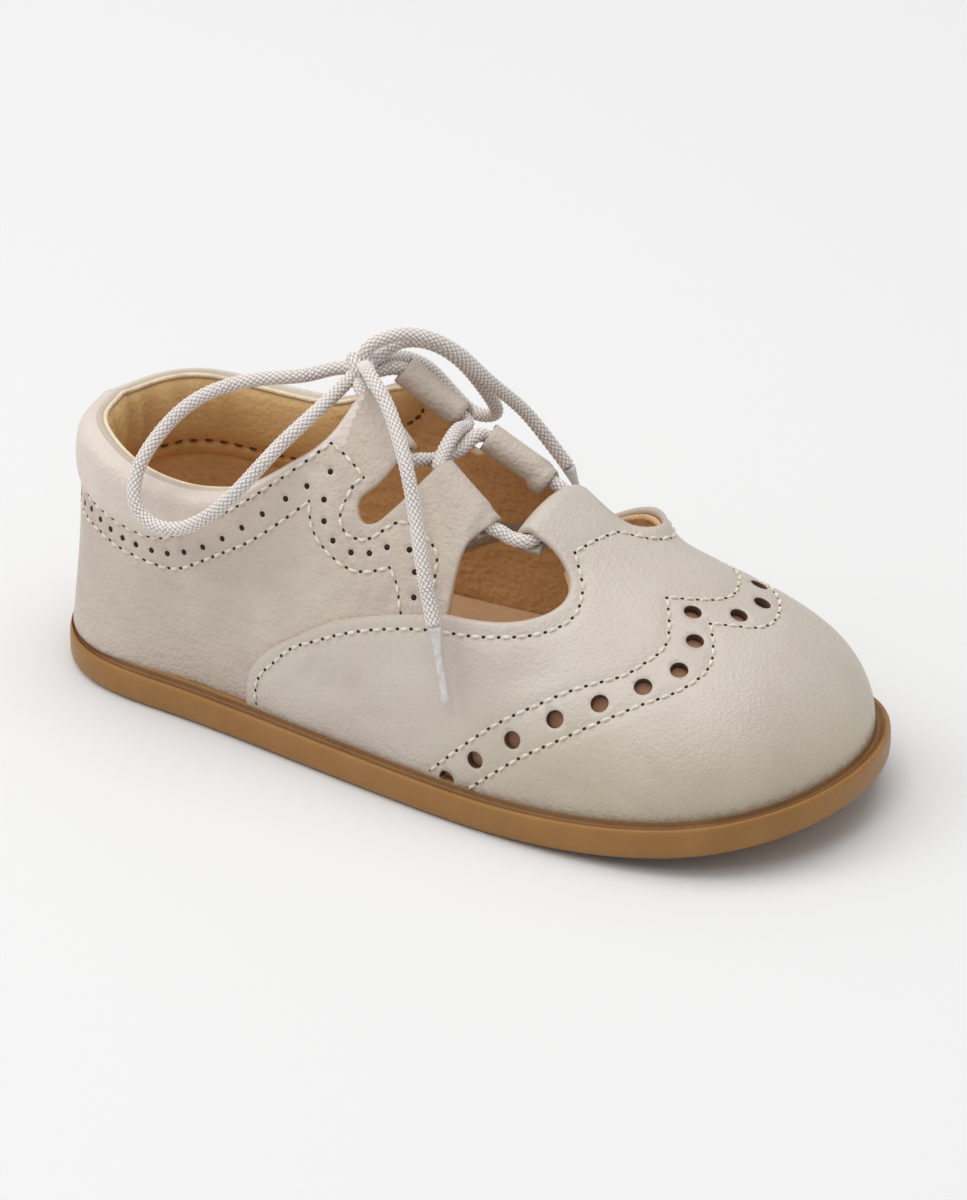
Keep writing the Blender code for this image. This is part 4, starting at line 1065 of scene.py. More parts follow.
def rolled_tab(name, line, skin, flesh, count, start):
    """The roll that continues a panel's wall past a fold, sharing the wall's own points along it."""
    _, up, onward = fold_frame(name)
    middle = (skin[line] + flesh[line]) / 2
    profile, out = tunnel_profile()
    centre = middle[None] + profile[:, :1, None] * onward + profile[:, 1:, None] * up
    away = (out[:, :1, None] * onward + out[:, 1:, None] * up) * TAB_WALL / 2
    rows, size = len(profile), len(line)
    points = np.vstack([(centre + away).reshape(-1, 3), (centre - away).reshape(-1, 3)])
    number = start + np.arange(rows * size).reshape(rows, size)
    outer = np.vstack([line, number])
    inner = np.vstack([line + count, number + rows * size])

    def between(low, high):
        """Four-sided faces between neighbouring rows."""
        return np.stack([low[:, 1:], low[:, :-1], high[:, :-1], high[:, 1:]], -1).reshape(-1, 4)

    ends = np.concatenate([np.stack([outer[1:, 0], outer[:-1, 0], inner[:-1, 0], inner[1:, 0]], 1),
                           np.stack([outer[:-1, -1], outer[1:, -1], inner[1:, -1], inner[:-1, -1]], 1),
                           np.stack([outer[-1, 1:], outer[-1, :-1], inner[-1, :-1], inner[-1, 1:]], 1)])
    return points, [(between(outer[:-1], outer[1:]), 0), (ends, 1),
                    (between(inner[:-1], inner[1:])[:, ::-1], 2)]


def on_roll(pattern):
    """Which places lie on the padded collar."""
    inside_roll = np.zeros(len(pattern), bool)
    for side in (LATERAL, MEDIAL):
        width, edge = roll_width(pattern[:, 0], side)
        below = np.abs(pattern[:, 1]) - edge
        behind = pattern[:, 0] < EDGES[side]["collar"][-1, 0]
        inside_roll |= (pattern[:, 1] * side > 0) & (below < width) & behind
    return inside_roll


def panel_piece(name, parts, height_of, thickness, fold_names, finishes, slot, replaces):
    """One leather piece from cut parts of the pattern, with its tabs rolled and its heel seam welded.

    A fifth finish is for the padded collar: partly a paler leather, partly painted light on the roll.
    """
    made = []
    for flat, faces, punched in parts:
        outer, ease = height_of(flat)
        inner = outer - (thickness + (TAB_WALL - thickness) * ease)
        count = len(flat)
        known = set(map(tuple, face_edges(faces).tolist()))
        folds = []
        for fold in fold_names:
            line = find_places(flat, FOLDS[fold])
            if np.abs(flat[line] - FOLDS[fold]).max() > ON_FOLD:
                continue
            folds.append((fold, line if (line[0], line[1]) in known else line[::-1]))
        open_edges = np.concatenate([np.stack([line[:-1], line[1:]], 1) for _, line in folds])
        points, groups = make_wall(flat, faces, outer, inner, open_edges, punched)
        if len(finishes) > COLLAR_FINISH:
            # faces on the padded roll take the paler collar finish: partly paler leather, partly painted light
            soft = on_roll(flat[faces].mean(1))
            groups = [(faces[~soft], 0), (faces[soft], COLLAR_FINISH), *groups[1:]]
        skin, flesh = points[:count], points[count : 2 * count]
        for fold, line in folds:
            roll_points, roll_groups = rolled_tab(fold, line, skin, flesh, count, len(points))
            points = np.vstack([points, roll_points])
            groups += roll_groups
        made.append((points, groups))
    add_piece(name, *weld(*joined(made)), finishes, slot, replaces)


print("leather round a tunnel:", round(TUNNEL_RADIUS * TUNNEL_ARC + TAIL_LENGTH, 1), "mm")

# %% [markdown]
# Grained leather is a field of small pebbles with finer wrinkles between and long slanting ones where it
# was pulled over the last, and its dye never takes quite evenly. One node group makes both, a height for
# the bump and a mottle for the colour. The rubber and the thread have unevenness of the same kind on a
# smaller scale, so they share the group with their own sizes and colours.

# %% Grain
PEBBLE_DEPTH, FINE_SCALE, SLANT_SCALE = -0.8, 0.7, 0.34
SLANT_ANGLE, SLANT_SQUEEZE = math.radians(-38), 0.32
FINE_DETAIL, SLANT_DETAIL, MOTTLE_DETAIL = 4.0, 2.0, 3.0


def make_grain_group():
    """Node group: pebbles from a cell pattern and wrinkles from noise make a height, noise makes a mottle."""
    group = bpy.data.node_groups.new("leather_grain", "ShaderNodeTree")
    group.interface.new_socket("Place", in_out="INPUT", socket_type="NodeSocketVector")
    for name in ("Pebbles per Metre", "Mottle per Metre", "Slant"):
        group.interface.new_socket(name, in_out="INPUT", socket_type="NodeSocketFloat")
    for name in ("Height", "Mottle"):
        group.interface.new_socket(name, in_out="OUTPUT", socket_type="NodeSocketFloat")
    nodes, join = group.nodes, group.links.new
    given, made = nodes.new("NodeGroupInput"), nodes.new("NodeGroupOutput")

    def calculate(operation, *values):
        """A sum or product of sockets and plain numbers."""
        node = nodes.new("ShaderNodeMath")
        node.operation = operation
        for socket, value in zip(node.inputs, values):
            if isinstance(value, float):
                socket.default_value = value
            else:
                join(value, socket)
        return node.outputs[0]

    def noise(place, scale, detail):
        """A noise over the place, as fine as its scale and detail."""
        node = nodes.new("ShaderNodeTexNoise")
        node.inputs["Detail"].default_value = detail
        join(place, node.inputs["Vector"])
        join(scale, node.inputs["Scale"])
        return node.outputs["Fac"]

    cells = nodes.new("ShaderNodeTexVoronoi")
    cells.feature = "SMOOTH_F1"
    join(given.outputs["Place"], cells.inputs["Vector"])
    join(given.outputs["Pebbles per Metre"], cells.inputs["Scale"])
    leaning = nodes.new("ShaderNodeMapping")
    leaning.inputs["Rotation"].default_value = (0.0, SLANT_ANGLE, 0.0)
    leaning.inputs["Scale"].default_value = (SLANT_SQUEEZE, 1.0, 1.0)
    join(given.outputs["Place"], leaning.inputs["Vector"])
    fine_scale, slant_scale = (calculate("MULTIPLY", given.outputs["Pebbles per Metre"], share)
                               for share in (FINE_SCALE, SLANT_SCALE))
    fine = noise(given.outputs["Place"], fine_scale, FINE_DETAIL)
    slanting = noise(leaning.outputs["Vector"], slant_scale, SLANT_DETAIL)
    height = calculate("MULTIPLY_ADD", cells.outputs["Distance"], PEBBLE_DEPTH, fine)
    join(calculate("MULTIPLY_ADD", slanting, given.outputs["Slant"], height), made.inputs["Height"])
    mottle = noise(given.outputs["Place"], given.outputs["Mottle per Metre"], MOTTLE_DETAIL)
    join(mottle, made.inputs["Mottle"])
    return group


GRAIN = make_grain_group()
print("grain group:", len(GRAIN.nodes), "nodes")

# %% [markdown]
# Every leather is that group with its own colours, pebbles and gloss. The vamp is the smoothest and shines
# most. Low on the toe its colour is painted darker and yellower, as painted shade with a cast of reflected
# light, which two soft ranges along z and x give without an image map.

# %% Leather finishes
BUMP_DEPTH = 0.25
MOTTLE_RANGE = (0.32, 0.68)
MIX_COLOUR_A, MIX_COLOUR_B, MIX_COLOUR_OUT = 6, 7, 2
# painted shade with a yellowish cast of reflected light low on the toe: its multiplier and where it falls
BOUNCE_SHADE_TINT = (0.86, 0.85, 0.74)
BOUNCE_SHADE_RANGES = (("Z", 0.024, 0.009), ("X", 0.0, 0.040))


def painted_bounce_shade_low(material, place, colour):
    """A colour times painted shade with a yellowish reflected cast low on the toe: a soft range down z times
    one along x.
    """
    nodes = material.node_tree.nodes
    split, both, mix = (nodes.new("ShaderNode" + kind) for kind in ("SeparateXYZ", "Math", "Mix"))
    both.operation = "MULTIPLY"
    mix.data_type, mix.blend_type = "RGBA", "MULTIPLY"
    link(material, place, split.inputs["Vector"])
    for socket, (axis, start, end) in zip(both.inputs, BOUNCE_SHADE_RANGES):
        ease = nodes.new("ShaderNodeMapRange")
        ease.interpolation_type = "SMOOTHSTEP"
        ease.inputs["From Min"].default_value, ease.inputs["From Max"].default_value = start, end
        link(material, split.outputs[axis], ease.inputs["Value"])
        link(material, ease.outputs["Result"], socket)
    link(material, both.outputs[0], mix.inputs["Factor"])
    link(material, colour, mix.inputs[MIX_COLOUR_A])
    mix.inputs[MIX_COLOUR_B].default_value = (*BOUNCE_SHADE_TINT, 1)
    return mix.outputs[MIX_COLOUR_OUT]


def grained(name, dark, light, pebbles, depth, roughness, mottle=55.0, slant=0.0, bounce_shade=False, shine=0.35):
    """A finish mottled between two colours, with grain as bump, and painted shade low on the toe where asked.
    """
    material, shader = new_material(name)
    nodes = material.node_tree.nodes
    place = nodes.new("ShaderNodeTexCoord")
    grain = nodes.new("ShaderNodeGroup")
    grain.node_tree = GRAIN
    grain.inputs["Pebbles per Metre"].default_value = pebbles
    grain.inputs["Mottle per Metre"].default_value = mottle
    grain.inputs["Slant"].default_value = slant
    link(material, place.outputs["Object"], grain.inputs["Place"])
    colour = ramp_between(material, grain.outputs["Mottle"], dark, light, MOTTLE_RANGE)
    if bounce_shade:
        colour = painted_bounce_shade_low(material, place.outputs["Object"], colour)
    link(material, colour, shader.inputs["Base Color"])
    bump = nodes.new("ShaderNodeBump")
    bump.inputs["Strength"].default_value = depth
    bump.inputs["Distance"].default_value = BUMP_DEPTH * MM
    link(material, grain.outputs["Height"], bump.inputs["Height"])
    link(material, bump.outputs["Normal"], shader.inputs["Normal"])
    shader.inputs["Roughness"].default_value = roughness
    shader.inputs["Specular IOR Level"].default_value = shine
    return material


# the vamp takes the painted shade and reflected light low on the toe
vamp_leather = grained("vamp_leather", (0.540, 0.470, 0.406), (0.600, 0.535, 0.463), 2300.0, 0.42, 0.37, 70.0,
                       0.7, bounce_shade=True, shine=0.6)
quarter_leather = grained("quarter_leather", (0.535, 0.452, 0.382), (0.595, 0.515, 0.438), 2000.0, 0.65, 0.45,
                          90.0, 1.6)
# collar roll: partly a paler leather, partly painted light, lighter than the quarter
collar_leather_pale_and_lit = grained("collar_leather_pale_and_lit", (0.665, 0.572, 0.502), (0.715, 0.630, 0.560), 1900.0, 0.6, 0.42,
                         80.0, 1.0)
cut_edge = grained("cut_edge", (0.49, 0.41, 0.34), (0.58, 0.50, 0.42), 2600.0, 0.3, 0.8)
flesh_side = grained("flesh_side", (0.33, 0.29, 0.25), (0.42, 0.37, 0.32), 2200.0, 0.6, 0.9)
# nearly black walls of the punched holes: painted shade inside each hole
hole_wall_shaded = grained("hole_wall_shaded", (0.085, 0.048, 0.030), (0.13, 0.075, 0.048), 2600.0, 0.4, 0.9, 300.0)
lining_back = grained("lining_back", (0.36, 0.185, 0.105), (0.46, 0.245, 0.145), 1500.0, 0.4, 0.8, 400.0)
lining_leather = grained("lining_leather", (0.62, 0.375, 0.168), (0.74, 0.460, 0.225), 1100.0, 1.0, 0.5, 90.0,
                         1.8)
collar_gold = grained("collar_gold", (0.64, 0.405, 0.170), (0.76, 0.510, 0.240), 1500.0, 0.5, 0.55, 120.0,
                      0.6)
raw_edge = grained("raw_edge", (0.72, 0.60, 0.42), (0.84, 0.73, 0.54), 3000.0, 0.5, 0.8, 400.0)
sock_leather = grained("sock_leather", (0.70, 0.455, 0.255), (0.78, 0.525, 0.305), 1400.0, 0.5, 0.55, 80.0,
                       0.3)
print("finishes so far:", len(bpy.data.materials))

# %% [markdown]
# The vamp is one panel from the toe to the mid side. The quarter wraps the heel behind it and slips a few
# millimetres under the vamp's edge. The heel's back is a fold of the pattern, so the quarter is drawn as
# two halves.

# %% Outlines of the vamp and the quarter
PANEL_SPACING = 0.8
UNDERLAP, UNDERLAP_FADE = 3.5, 6.0
EDGE_LINES, SEAM_LINES = (0.12, 0.35, 0.7, 1.2, 1.9, 2.9), (-0.55, 0.0, 0.55)
EDGE_LINE_SHORT, EDGE_LINE_TAPER, HEEL_STEPS = 4, 3, 12


def sole_edge(start, end, side):
    """The pattern's lower edge between two places along it."""
    p = np.linspace(start, end, max(2, int(abs(end - start) / PANEL_SPACING) + 1))
    return np.stack([p, side * girth(np.interp(p, P_TABLE, T_TABLE), side)], 1)


def follow(panel, side=None):
    """Lines beside a panel's seams, and on the quarter below the collar's edge, that keep its shape clean."""
    lines = []
    for run in seams[panel]:
        if side is None or np.sign(run[len(run) // 2, 1]) == side:
            lines += [beside(run, distance)[1:-1] for distance in SEAM_LINES]
    if panel == "quarter":
        collar = EDGES[side]["collar"]
        for distance in EDGE_LINES:
            short = EDGE_LINE_SHORT + int(EDGE_LINE_TAPER * distance)
            lines.append((collar + [0, side * distance])[:-short])
    return lines


def heel_line(collar, side):
    """The pattern's fold at the heel's back, from the collar's edge down to the sole."""
    down = np.linspace(collar[0, 1], side * girth(0.0, side)[0], HEEL_STEPS)
    return np.stack([np.zeros(HEEL_STEPS), down], 1)


def vamp_outline():
    """The vamp's edge: round the sole, up the inner rear, over the tab and down the outer rear."""
    toe = P_TABLE[-1]
    near = sole_edge(VAMP_REAR[LATERAL][0, 0], toe, LATERAL)
    far = sole_edge(toe, VAMP_REAR[MEDIAL][0, 0], MEDIAL)
    runs = [near[:-1], far[:-1], VAMP_REAR[MEDIAL][:-1], EDGES[MEDIAL]["low"][:-1],
            FOLDS["centre"][::-1][:-1], EDGES[LATERAL]["low"][::-1][:-1], VAMP_REAR[LATERAL][::-1][:-1]]
    return np.vstack(runs)


def under_vamp(side):
    """The quarter's hidden front edge, a few millimetres under the vamp's."""
    run = VAMP_REAR[side]
    along = lengths_along(run)
    reach = UNDERLAP * np.clip((along[-1] - along) / UNDERLAP_FADE, 0, 1)
    return beside(run, side * reach[:, None])


def quarter_outline(side):
    """A half quarter's edge: along the sole, up its hidden front, along tabs and collar, down the heel."""
    edges = EDGES[side]
    front = under_vamp(side)
    front[0, 1] = side * girth(np.interp(front[:1, 0], P_TABLE, T_TABLE), side)[0]
    heel = heel_line(edges["collar"], side)
    runs = [sole_edge(0.0, front[0, 0], side)[:-1], front[:-1]]
    runs += [edges[name][::-1][:-1] for name in ("rear", "mid", "slot", "top", "collar")]
    return np.vstack(runs + [heel[:-1]])


print("outline points:", len(vamp_outline()), "vamp,", len(quarter_outline(LATERAL)), "half quarter")

# %% [markdown]
# The wing's holes are punched through the vamp, and pinholes through the band of the quarter. Both have to
# be round on the shoe, so each is drawn on the pattern with the pattern's local stretch undone. The two
# halves of the quarter are welded at the heel's back.

# %% Cut the vamp and the quarter
HOLE_RADIUS, HOLE_POINTS = 1.33, 24
PINHOLE_RADIUS, PINHOLE_POINTS, PINHOLE_PITCH = 0.46, 12, 3.0
PINHOLES = (
    # x, up the wall
    (6.7, 21.8), (9.2, 21.2), (11.6, 20.5), (14.1, 19.9), (16.7, 19.6), (19.6, 19.5), (22.5, 19.8),
    (25.5, 20.9), (28.9, 22.7), (32.4, 25.1), (35.8, 27.8), (39.2, 30.9), (42.8, 34.2), (45.8, 36.9),
    (48.9, 39.9), (48.9, 35.7), (49.5, 32.6), (51.4, 30.2), (54.6, 29.3), (57.5, 30.0), (60.0, 31.6),
    (63.4, 32.2), (65.0, 29.3), (65.8, 25.7),
)
UNDER_RUN, UNDER_DIP = 1.5, 0.6


def ring_round(centre, radius, points):
    """A ring on the pattern that lies as a circle on the last: a circle with the local stretch undone."""
    step = 0.05
    around = on_last(centre + step * np.array(((1, 0), (-1, 0), (0, 1), (0, -1))), 0.0)[0]
    stretch = np.stack([around[0] - around[1], around[2] - around[3]]) / (2 * step)
    lower = np.linalg.cholesky(stretch @ stretch.T)
    turn = round_steps(points)
    return centre + radius * np.linalg.solve(lower.T, np.stack([np.cos(turn), np.sin(turn)])).T


wing_centres = np.vstack([wing_line(WING_HOLES, LATERAL), wing_line(WING_HOLES[1:], MEDIAL)])
wing_holes = [ring_round(centre, HOLE_RADIUS, HOLE_POINTS) for centre in wing_centres]
vamp_parts = [(*cut_pattern(vamp_outline(), wing_holes, follow("vamp"), PANEL_SPACING), wing_holes)]
quarter_parts, pin_centres = [], []
for side in (LATERAL, MEDIAL):
    high, low = pattern_from_up(BAND_HIGH, side), pattern_from_up(BAND_LOW, side)
    centres = pattern_from_up(PINHOLES, side)
    p = np.arange(PINHOLE_PITCH / 2, centres[0, 0] - PINHOLE_PITCH / 2, PINHOLE_PITCH)
    middle = (np.interp(p, high[:, 0], high[:, 1]) + np.interp(p, low[:, 0], low[:, 1])) / 2
    centres = np.vstack([np.stack([p, middle], 1), centres])
    pin_centres.append(centres)
    pins = [ring_round(centre, PINHOLE_RADIUS, PINHOLE_POINTS) for centre in centres]
    half = cut_pattern(quarter_outline(side), pins, follow("quarter", side), PANEL_SPACING)
    quarter_parts.append((*half, pins))
pin_centres = np.vstack(pin_centres)


def under_height(pattern):
    """The quarter dips under the vamp so that only the vamp's edge shows."""
    height, ease = quarter_height(pattern)
    for side in (LATERAL, MEDIAL):
        line = VAMP_REAR[side]
        edge = np.interp(pattern[:, 1] * side, line[::-1, 1] * side, line[::-1, 0])
        beyond = (pattern[:, 1] * side > 0) & (pattern[:, 0] > edge)
        depth = np.clip(distance_to_run(pattern, line) / UNDER_RUN, 0, 1)
        height = np.where(beyond, height - UNDER_DIP * depth, height)
    return height, ease


trims = [cut_edge, flesh_side, hole_wall_shaded]
panel_piece("vamp", vamp_parts, vamp_height, VAMP_LEATHER, ("centre",), [vamp_leather, *trims],
            "upper_leather", ["upper"])
panel_piece("quarter", quarter_parts, under_height, QUARTER_LEATHER, SIDE_TABS,
            [quarter_leather, *trims, collar_leather_pale_and_lit], "upper_leather", ["upper"])

# %% [markdown]
# Inside, a tan lining follows the whole upper. It stops short of the tabs, which fold back over it, and
# below the collar, where a softer golden band is stitched in.

# %% Lining
LINING_OUTER, LINING_THICK, LINING_SPACING, LINING_CLEAR = -1.3, 1.0, 1.8, 6.5
LINING_DROP, LINING_FADE, MIDDLE_STEPS, TAB_STEPS = 4.0, 8.0, 60, 8


def lining_outline(side):
    """A half lining's edge: along the sole, back over the toe's ridge, and along the upper's own top edge."""
    edges = EDGES[side]
    collar = edges["collar"].copy()
    collar[:, 1] += side * LINING_DROP * np.clip((collar[-1, 0] - collar[:, 0]) / LINING_FADE, 0, 1)
    toe = P_TABLE[-1]
    middle = np.stack([np.linspace(FOLDS["centre"][0, 0], toe, MIDDLE_STEPS), np.zeros(MIDDLE_STEPS)], 1)
    low = edges["low"]
    runs = [sole_edge(0.0, toe, side)[:-1], middle[::-1][:-1],
            np.linspace((low[-1, 0], 0.0), low[-1], TAB_STEPS)[:-1], low[::-1][:-1]]
    runs += [edges[name][::-1][:-1] for name in ("rear", "mid", "slot", "top")]
    return np.vstack(runs + [collar[::-1][:-1], heel_line(collar, side)[:-1]])


halves = []
for side in (LATERAL, MEDIAL):
    flat, faces = cut_pattern(lining_outline(side), [], [], LINING_SPACING)
    centre = flat[faces].mean(1)
    clear = np.min([distance_to_run(centre, fold) for fold in FOLDS.values()], axis=0)
    faces = faces[clear > LINING_CLEAR]
    outer = LINING_OUTER - crease_depth("rim", flat)
    halves.append(make_wall(flat, faces, outer, outer - LINING_THICK))
add_piece("lining", *weld(*joined(halves)), [lining_back, lining_leather, lining_leather], "sock_leather")

# %% [markdown]
# The collar's lining is a soft strip over foam. Its section runs from the collar's edge, swells inwards and
# comes back to the wall, and the same rows a little further out close it behind. It thins where the
# leather's edge turns in less, towards the tabs. Round the heel the strip is longer than the place it lies
# in, so it pleats. A pale raw edge shows along its top, made as a thin bead.

# %% Collar lining
BAND_ROWS = (
    # down from the collar's edge as a share of the depth, height off the last
    (0.030, -3.9), (0.040, -4.2), (0.090, -4.7), (0.18, -5.1), (0.34, -5.4), (0.55, -5.3), (0.75, -4.8),
    (0.90, -3.9), (0.955, -3.4), (1.0, -3.5), (1.06, -3.3), (1.14, -2.7), (1.15, -2.4),
)
BAND_SPACING, BAND_STEPS, BAND_SEAM = 0.6, 40, 0.925
BAND_DEEP, BAND_SHALLOW, BAND_FADE, BAND_POWER, BAND_THICK = 12.5, 6.5, 24.0, 0.8, 0.4
BAND_WALL, BAND_LIFT, BAND_TUCK = -1.6, 2.3, 1.5
PLEAT_LENGTH, PLEAT_DEPTH, PLEAT_REACH = 6.5, 0.5, 19.0
PLEAT_START, PLEAT_DRIFT, DRIFT_RATE = 0.4, 1.2, 0.31
BEAD_RADIUS, BEAD_DOWN, BEAD_HEIGHT, BEAD_SPACING = 0.36, 0.02, -4.05, 0.8
near, far = (smooth_run(EDGES[side]["collar"], BAND_SPACING) for side in (LATERAL, MEDIAL))
band_edge = np.vstack([near[::-1], far[1:]])
collar_end = EDGES[LATERAL]["collar"][-1, 0]
turns = [math.prod(roll_turn(band_edge[:, 0], side)) for side in (LATERAL, MEDIAL)]
band_thin = (VAMP_STEP + QUARTER_LEATHER + np.where(band_edge[:, 1] < 0, *turns) - BAND_TUCK) / BAND_LIFT


def band_place(share, height):
    """Pattern places and heights on the collar's lining, a row for each share of its depth."""
    p, side = band_edge[:, 0], np.sign(band_edge[:, 1])
    fade = np.clip((collar_end - p) / BAND_FADE, 0, 1)
    depth = BAND_SHALLOW + (BAND_DEEP - BAND_SHALLOW) * fade**BAND_POWER
    share, height = np.atleast_1d(share)[:, None], np.atleast_1d(height)[:, None]
    pleat = PLEAT_DEPTH * np.exp(-((p / PLEAT_REACH) ** 2)) * np.sin(np.pi * np.clip(share, 0, 1))
    wave = np.sin(2 * np.pi * side * p / PLEAT_LENGTH + PLEAT_START + PLEAT_DRIFT * np.sin(DRIFT_RATE * p))
    height = BAND_WALL + (height + pleat * wave - BAND_WALL) * band_thin
    place = np.stack([np.broadcast_to(p, height.shape), band_edge[:, 1] + side * share * depth], -1)
    return place, height


profile = section(BAND_ROWS, BAND_STEPS)
shares = np.concatenate([profile[:, 0], profile[::-1, 0]])
place, height = band_place(shares, np.concatenate([profile[:, 1], profile[::-1, 1] + BAND_THICK]))
points, _ = on_last(place.reshape(-1, 2), height.ravel())
rows, columns = height.shape
points = points.reshape(rows, columns, 3).transpose(1, 0, 2).reshape(-1, 3)
band = grid_faces(columns, rows, closed=True)
number = np.arange(rows // 2 - 1)
cap = np.stack([number, number + 1, rows - 2 - number, rows - 1 - number], 1)
groups = [(band[:, ::-1], 0), (cap, 0), (cap[:, ::-1] + (columns - 1) * rows, 0)]
strip = add_piece("collar_lining", points, groups, [collar_gold], "sock_leather")
bead, _ = on_last(band_edge + np.sign(band_edge) * [0, BEAD_DOWN],
                  BAND_WALL + (BEAD_HEIGHT - BAND_WALL) * band_thin)
add_piece("collar_raw_edge", *tube(smooth_run(bead, BEAD_SPACING), BEAD_RADIUS), [raw_edge], "sock_leather")

# %% [markdown]
# The sole is one rubber unit. Its profile runs from under the tread round the rounded lower edge, up the
# side, over the edge that catches the light and in along the lip to the upper. The profile is carried round
# the outline of the upper's lower edge, wider at the sides than at the heel. Along the lip the rubber is
# painted darker, as painted shade in the recess under the upper.

# %% Sole
FLANGE_HEEL, FLANGE_SIDE, FLANGE_FROM, STEP = 0.4, 2.3, 0.30, 1e-4
SOLE_STEPS, SOLE_ACROSS, SOLE_SECTION_STEPS = 160, 14, 60
ROUND_FULL, ROUND_LEAST = 1.6, 0.3
# rows of the profile whose rubber is painted darker, as painted shade on the lip
LIP_FROM, LIP_TO = 0.68, 0.93
SOLE_ROWS = (
    # share of the lip's width, added outwards, height
    (1.0, -2.30, 0.00), (1.0, -1.40, 0.03), (1.0, -0.75, 0.22), (1.0, -0.30, 0.62), (1.0, -0.08, 1.20),
    (1.0, 0.00, 2.20), (1.0, 0.00, 3.50), (1.0, -0.06, 4.25), (0.97, -0.14, 4.66), (0.90, -0.20, 4.88),
    (0.80, -0.24, 4.90), (0.66, -0.22, 4.74), (0.44, -0.15, 4.52), (0.20, -0.08, 4.50), (0.06, -0.02, 4.90),
    (0.0, -0.30, 5.40), (0.0, -1.6, 5.40),
)


def plan_ring(grow, t, side):
    """The upper's lower edge seen from above, grown outwards by a length for each t."""
    edge, ahead, behind = (last(np.clip(t + step, 0, 1), 0.0, side)[:, :2] for step in (0, STEP, -STEP))
    run = unit(ahead - behind)
    out = np.stack([run[:, 1], -run[:, 0]], 1) * -side
    out[0], out[-1] = (-1, 0), (1, 0)
    return edge + out * np.broadcast_to(grow, t.shape)[:, None]


def flange(t):
    """Width of the lip: an S-curve from the heel's to the sides'."""
    return FLANGE_HEEL + (FLANGE_SIDE - FLANGE_HEEL) * eased(np.clip(t / FLANGE_FROM, 0, 1))


def closed_ring(grow, height, t):
    """A ring round the whole plan: forward along the outer side and back along the inner side."""
    rows = [plan_ring(grow, t, side) for side in (LATERAL, MEDIAL)]
    row = np.vstack([rows[0], rows[1][-2:0:-1]])
    return np.column_stack([row, ground(row[:, 0]) + height])


def across_cap(ring, share):
    """Part of the way from a ring's outer side to its inner side, to close it."""
    near = ring[:SOLE_STEPS]
    far = np.vstack([ring[:1], ring[SOLE_STEPS:][::-1], ring[SOLE_STEPS - 1 : SOLE_STEPS]])
    return near + share * (far - near)


def closed_shell(rings, finish_of):
    """Walls between rings, with a finish for each level, and a cap under the first ring and over the last."""
    ring_size = len(rings[0])
    walls = grid_faces(len(rings), ring_size, closed=True)
    finishes = np.repeat(finish_of, ring_size)
    parts = [(np.vstack(rings), [(walls[finishes == finish], finish) for finish in np.unique(finishes)])]
    for ring, order in ((rings[0], 1), (rings[-1], -1)):
        cap = np.stack([across_cap(ring, share) for share in np.linspace(0, 1, SOLE_ACROSS)])
        parts.append((cap.reshape(-1, 3), [(grid_faces(SOLE_ACROSS, SOLE_STEPS)[:, ::order], 0)]))
    return weld(*joined(parts))


rubber = grained("sole_rubber", (0.290, 0.138, 0.035), (0.330, 0.160, 0.043), 2400.0, 0.25, 0.42, 160.0)
# the lip's darker rubber: painted shade where the lip runs in under the upper
rubber_lip_shaded = grained("sole_rubber_lip", (0.215, 0.100, 0.031), (0.255, 0.122, 0.040), 2400.0, 0.25, 0.42,
                     160.0)
t = np.linspace(0, 1, SOLE_STEPS)
rounding = np.clip(flange(t) / ROUND_FULL, ROUND_LEAST, 1)
rings = [closed_ring(share * flange(t) + out * rounding, height, t)
         for share, out, height in section(SOLE_ROWS, SOLE_SECTION_STEPS)]
level = np.linspace(0, 1, len(rings) - 1)
# the lip's rows take the darker rubber: painted shade
points, groups = closed_shell(rings, ((level > LIP_FROM) & (level < LIP_TO)).astype(int))
points[:, 2] = np.maximum(points[:, 2], 0)
add_piece("sole", points, groups, [rubber, rubber_lip_shaded], "sole_rubber", ["outsole"])

# %% [markdown]
# The sock is a soft leather footbed. It is thicker than the solid's plain slab by a millimetre, and its
# edge turns up a little where it meets the lining, as a foot's pressure leaves it. It is a profile carried
# round the same plan as the sole's.

# %% Sock
SOCK_INSET, SOCK_BASE, SOCK_STEPS = 2.6, 5.5, 28
SOCK_ROWS = (
    # out from the inset edge, height above its base
    (0.0, 0.0), (0.25, 0.8), (0.30, 2.4), (0.15, 3.5), (-0.25, 3.9), (-0.9, 3.75), (-2.2, 3.25), (-4.2, 2.85),
    (-6.5, 2.75),
)
rings = [closed_ring(out - SOCK_INSET, SOCK_BASE + height, t)
         for out, height in section(SOCK_ROWS, SOCK_STEPS)]
points, groups = closed_shell(rings, np.zeros(len(rings) - 1, int))
add_piece("sock", points, groups, [sock_leather], "sock_leather", ["insole"])

# %% [markdown]
# Thread shows as short bars with a needle hole between each two. A stitch is a small capsule along the
# seam: its ends dive into the leather and its middle stands a little proud. All stitches of a colour are
# one piece, made as one array of stitches by stations by ring points.

# %% Stitches
STITCH_PITCH, STITCH_SHARE, THREAD, STITCH_LIFT = 2.3, 0.62, 0.25, 0.17
STITCH_DIVE, STITCH_ENDS, STITCH_STATIONS, STITCH_RING, READ_STEP = 0.30, 1.06, 6, 6, 0.05


def stitch_places(run, height):
    """Even places along a seam on the leather: the line read by length, its points and outward directions."""
    line, normal = on_last(run, height)
    along = lengths_along(line)
    count = max(1, int(round(along[-1] / STITCH_PITCH)))
    return along, line, normal, (np.arange(count) + 0.5) * along[-1] / count, along[-1] / count


def read_along(along, rows, at):
    """Rows read at given lengths along their line."""
    return np.stack([np.interp(at, along, rows[:, axis]) for axis in range(3)], -1)


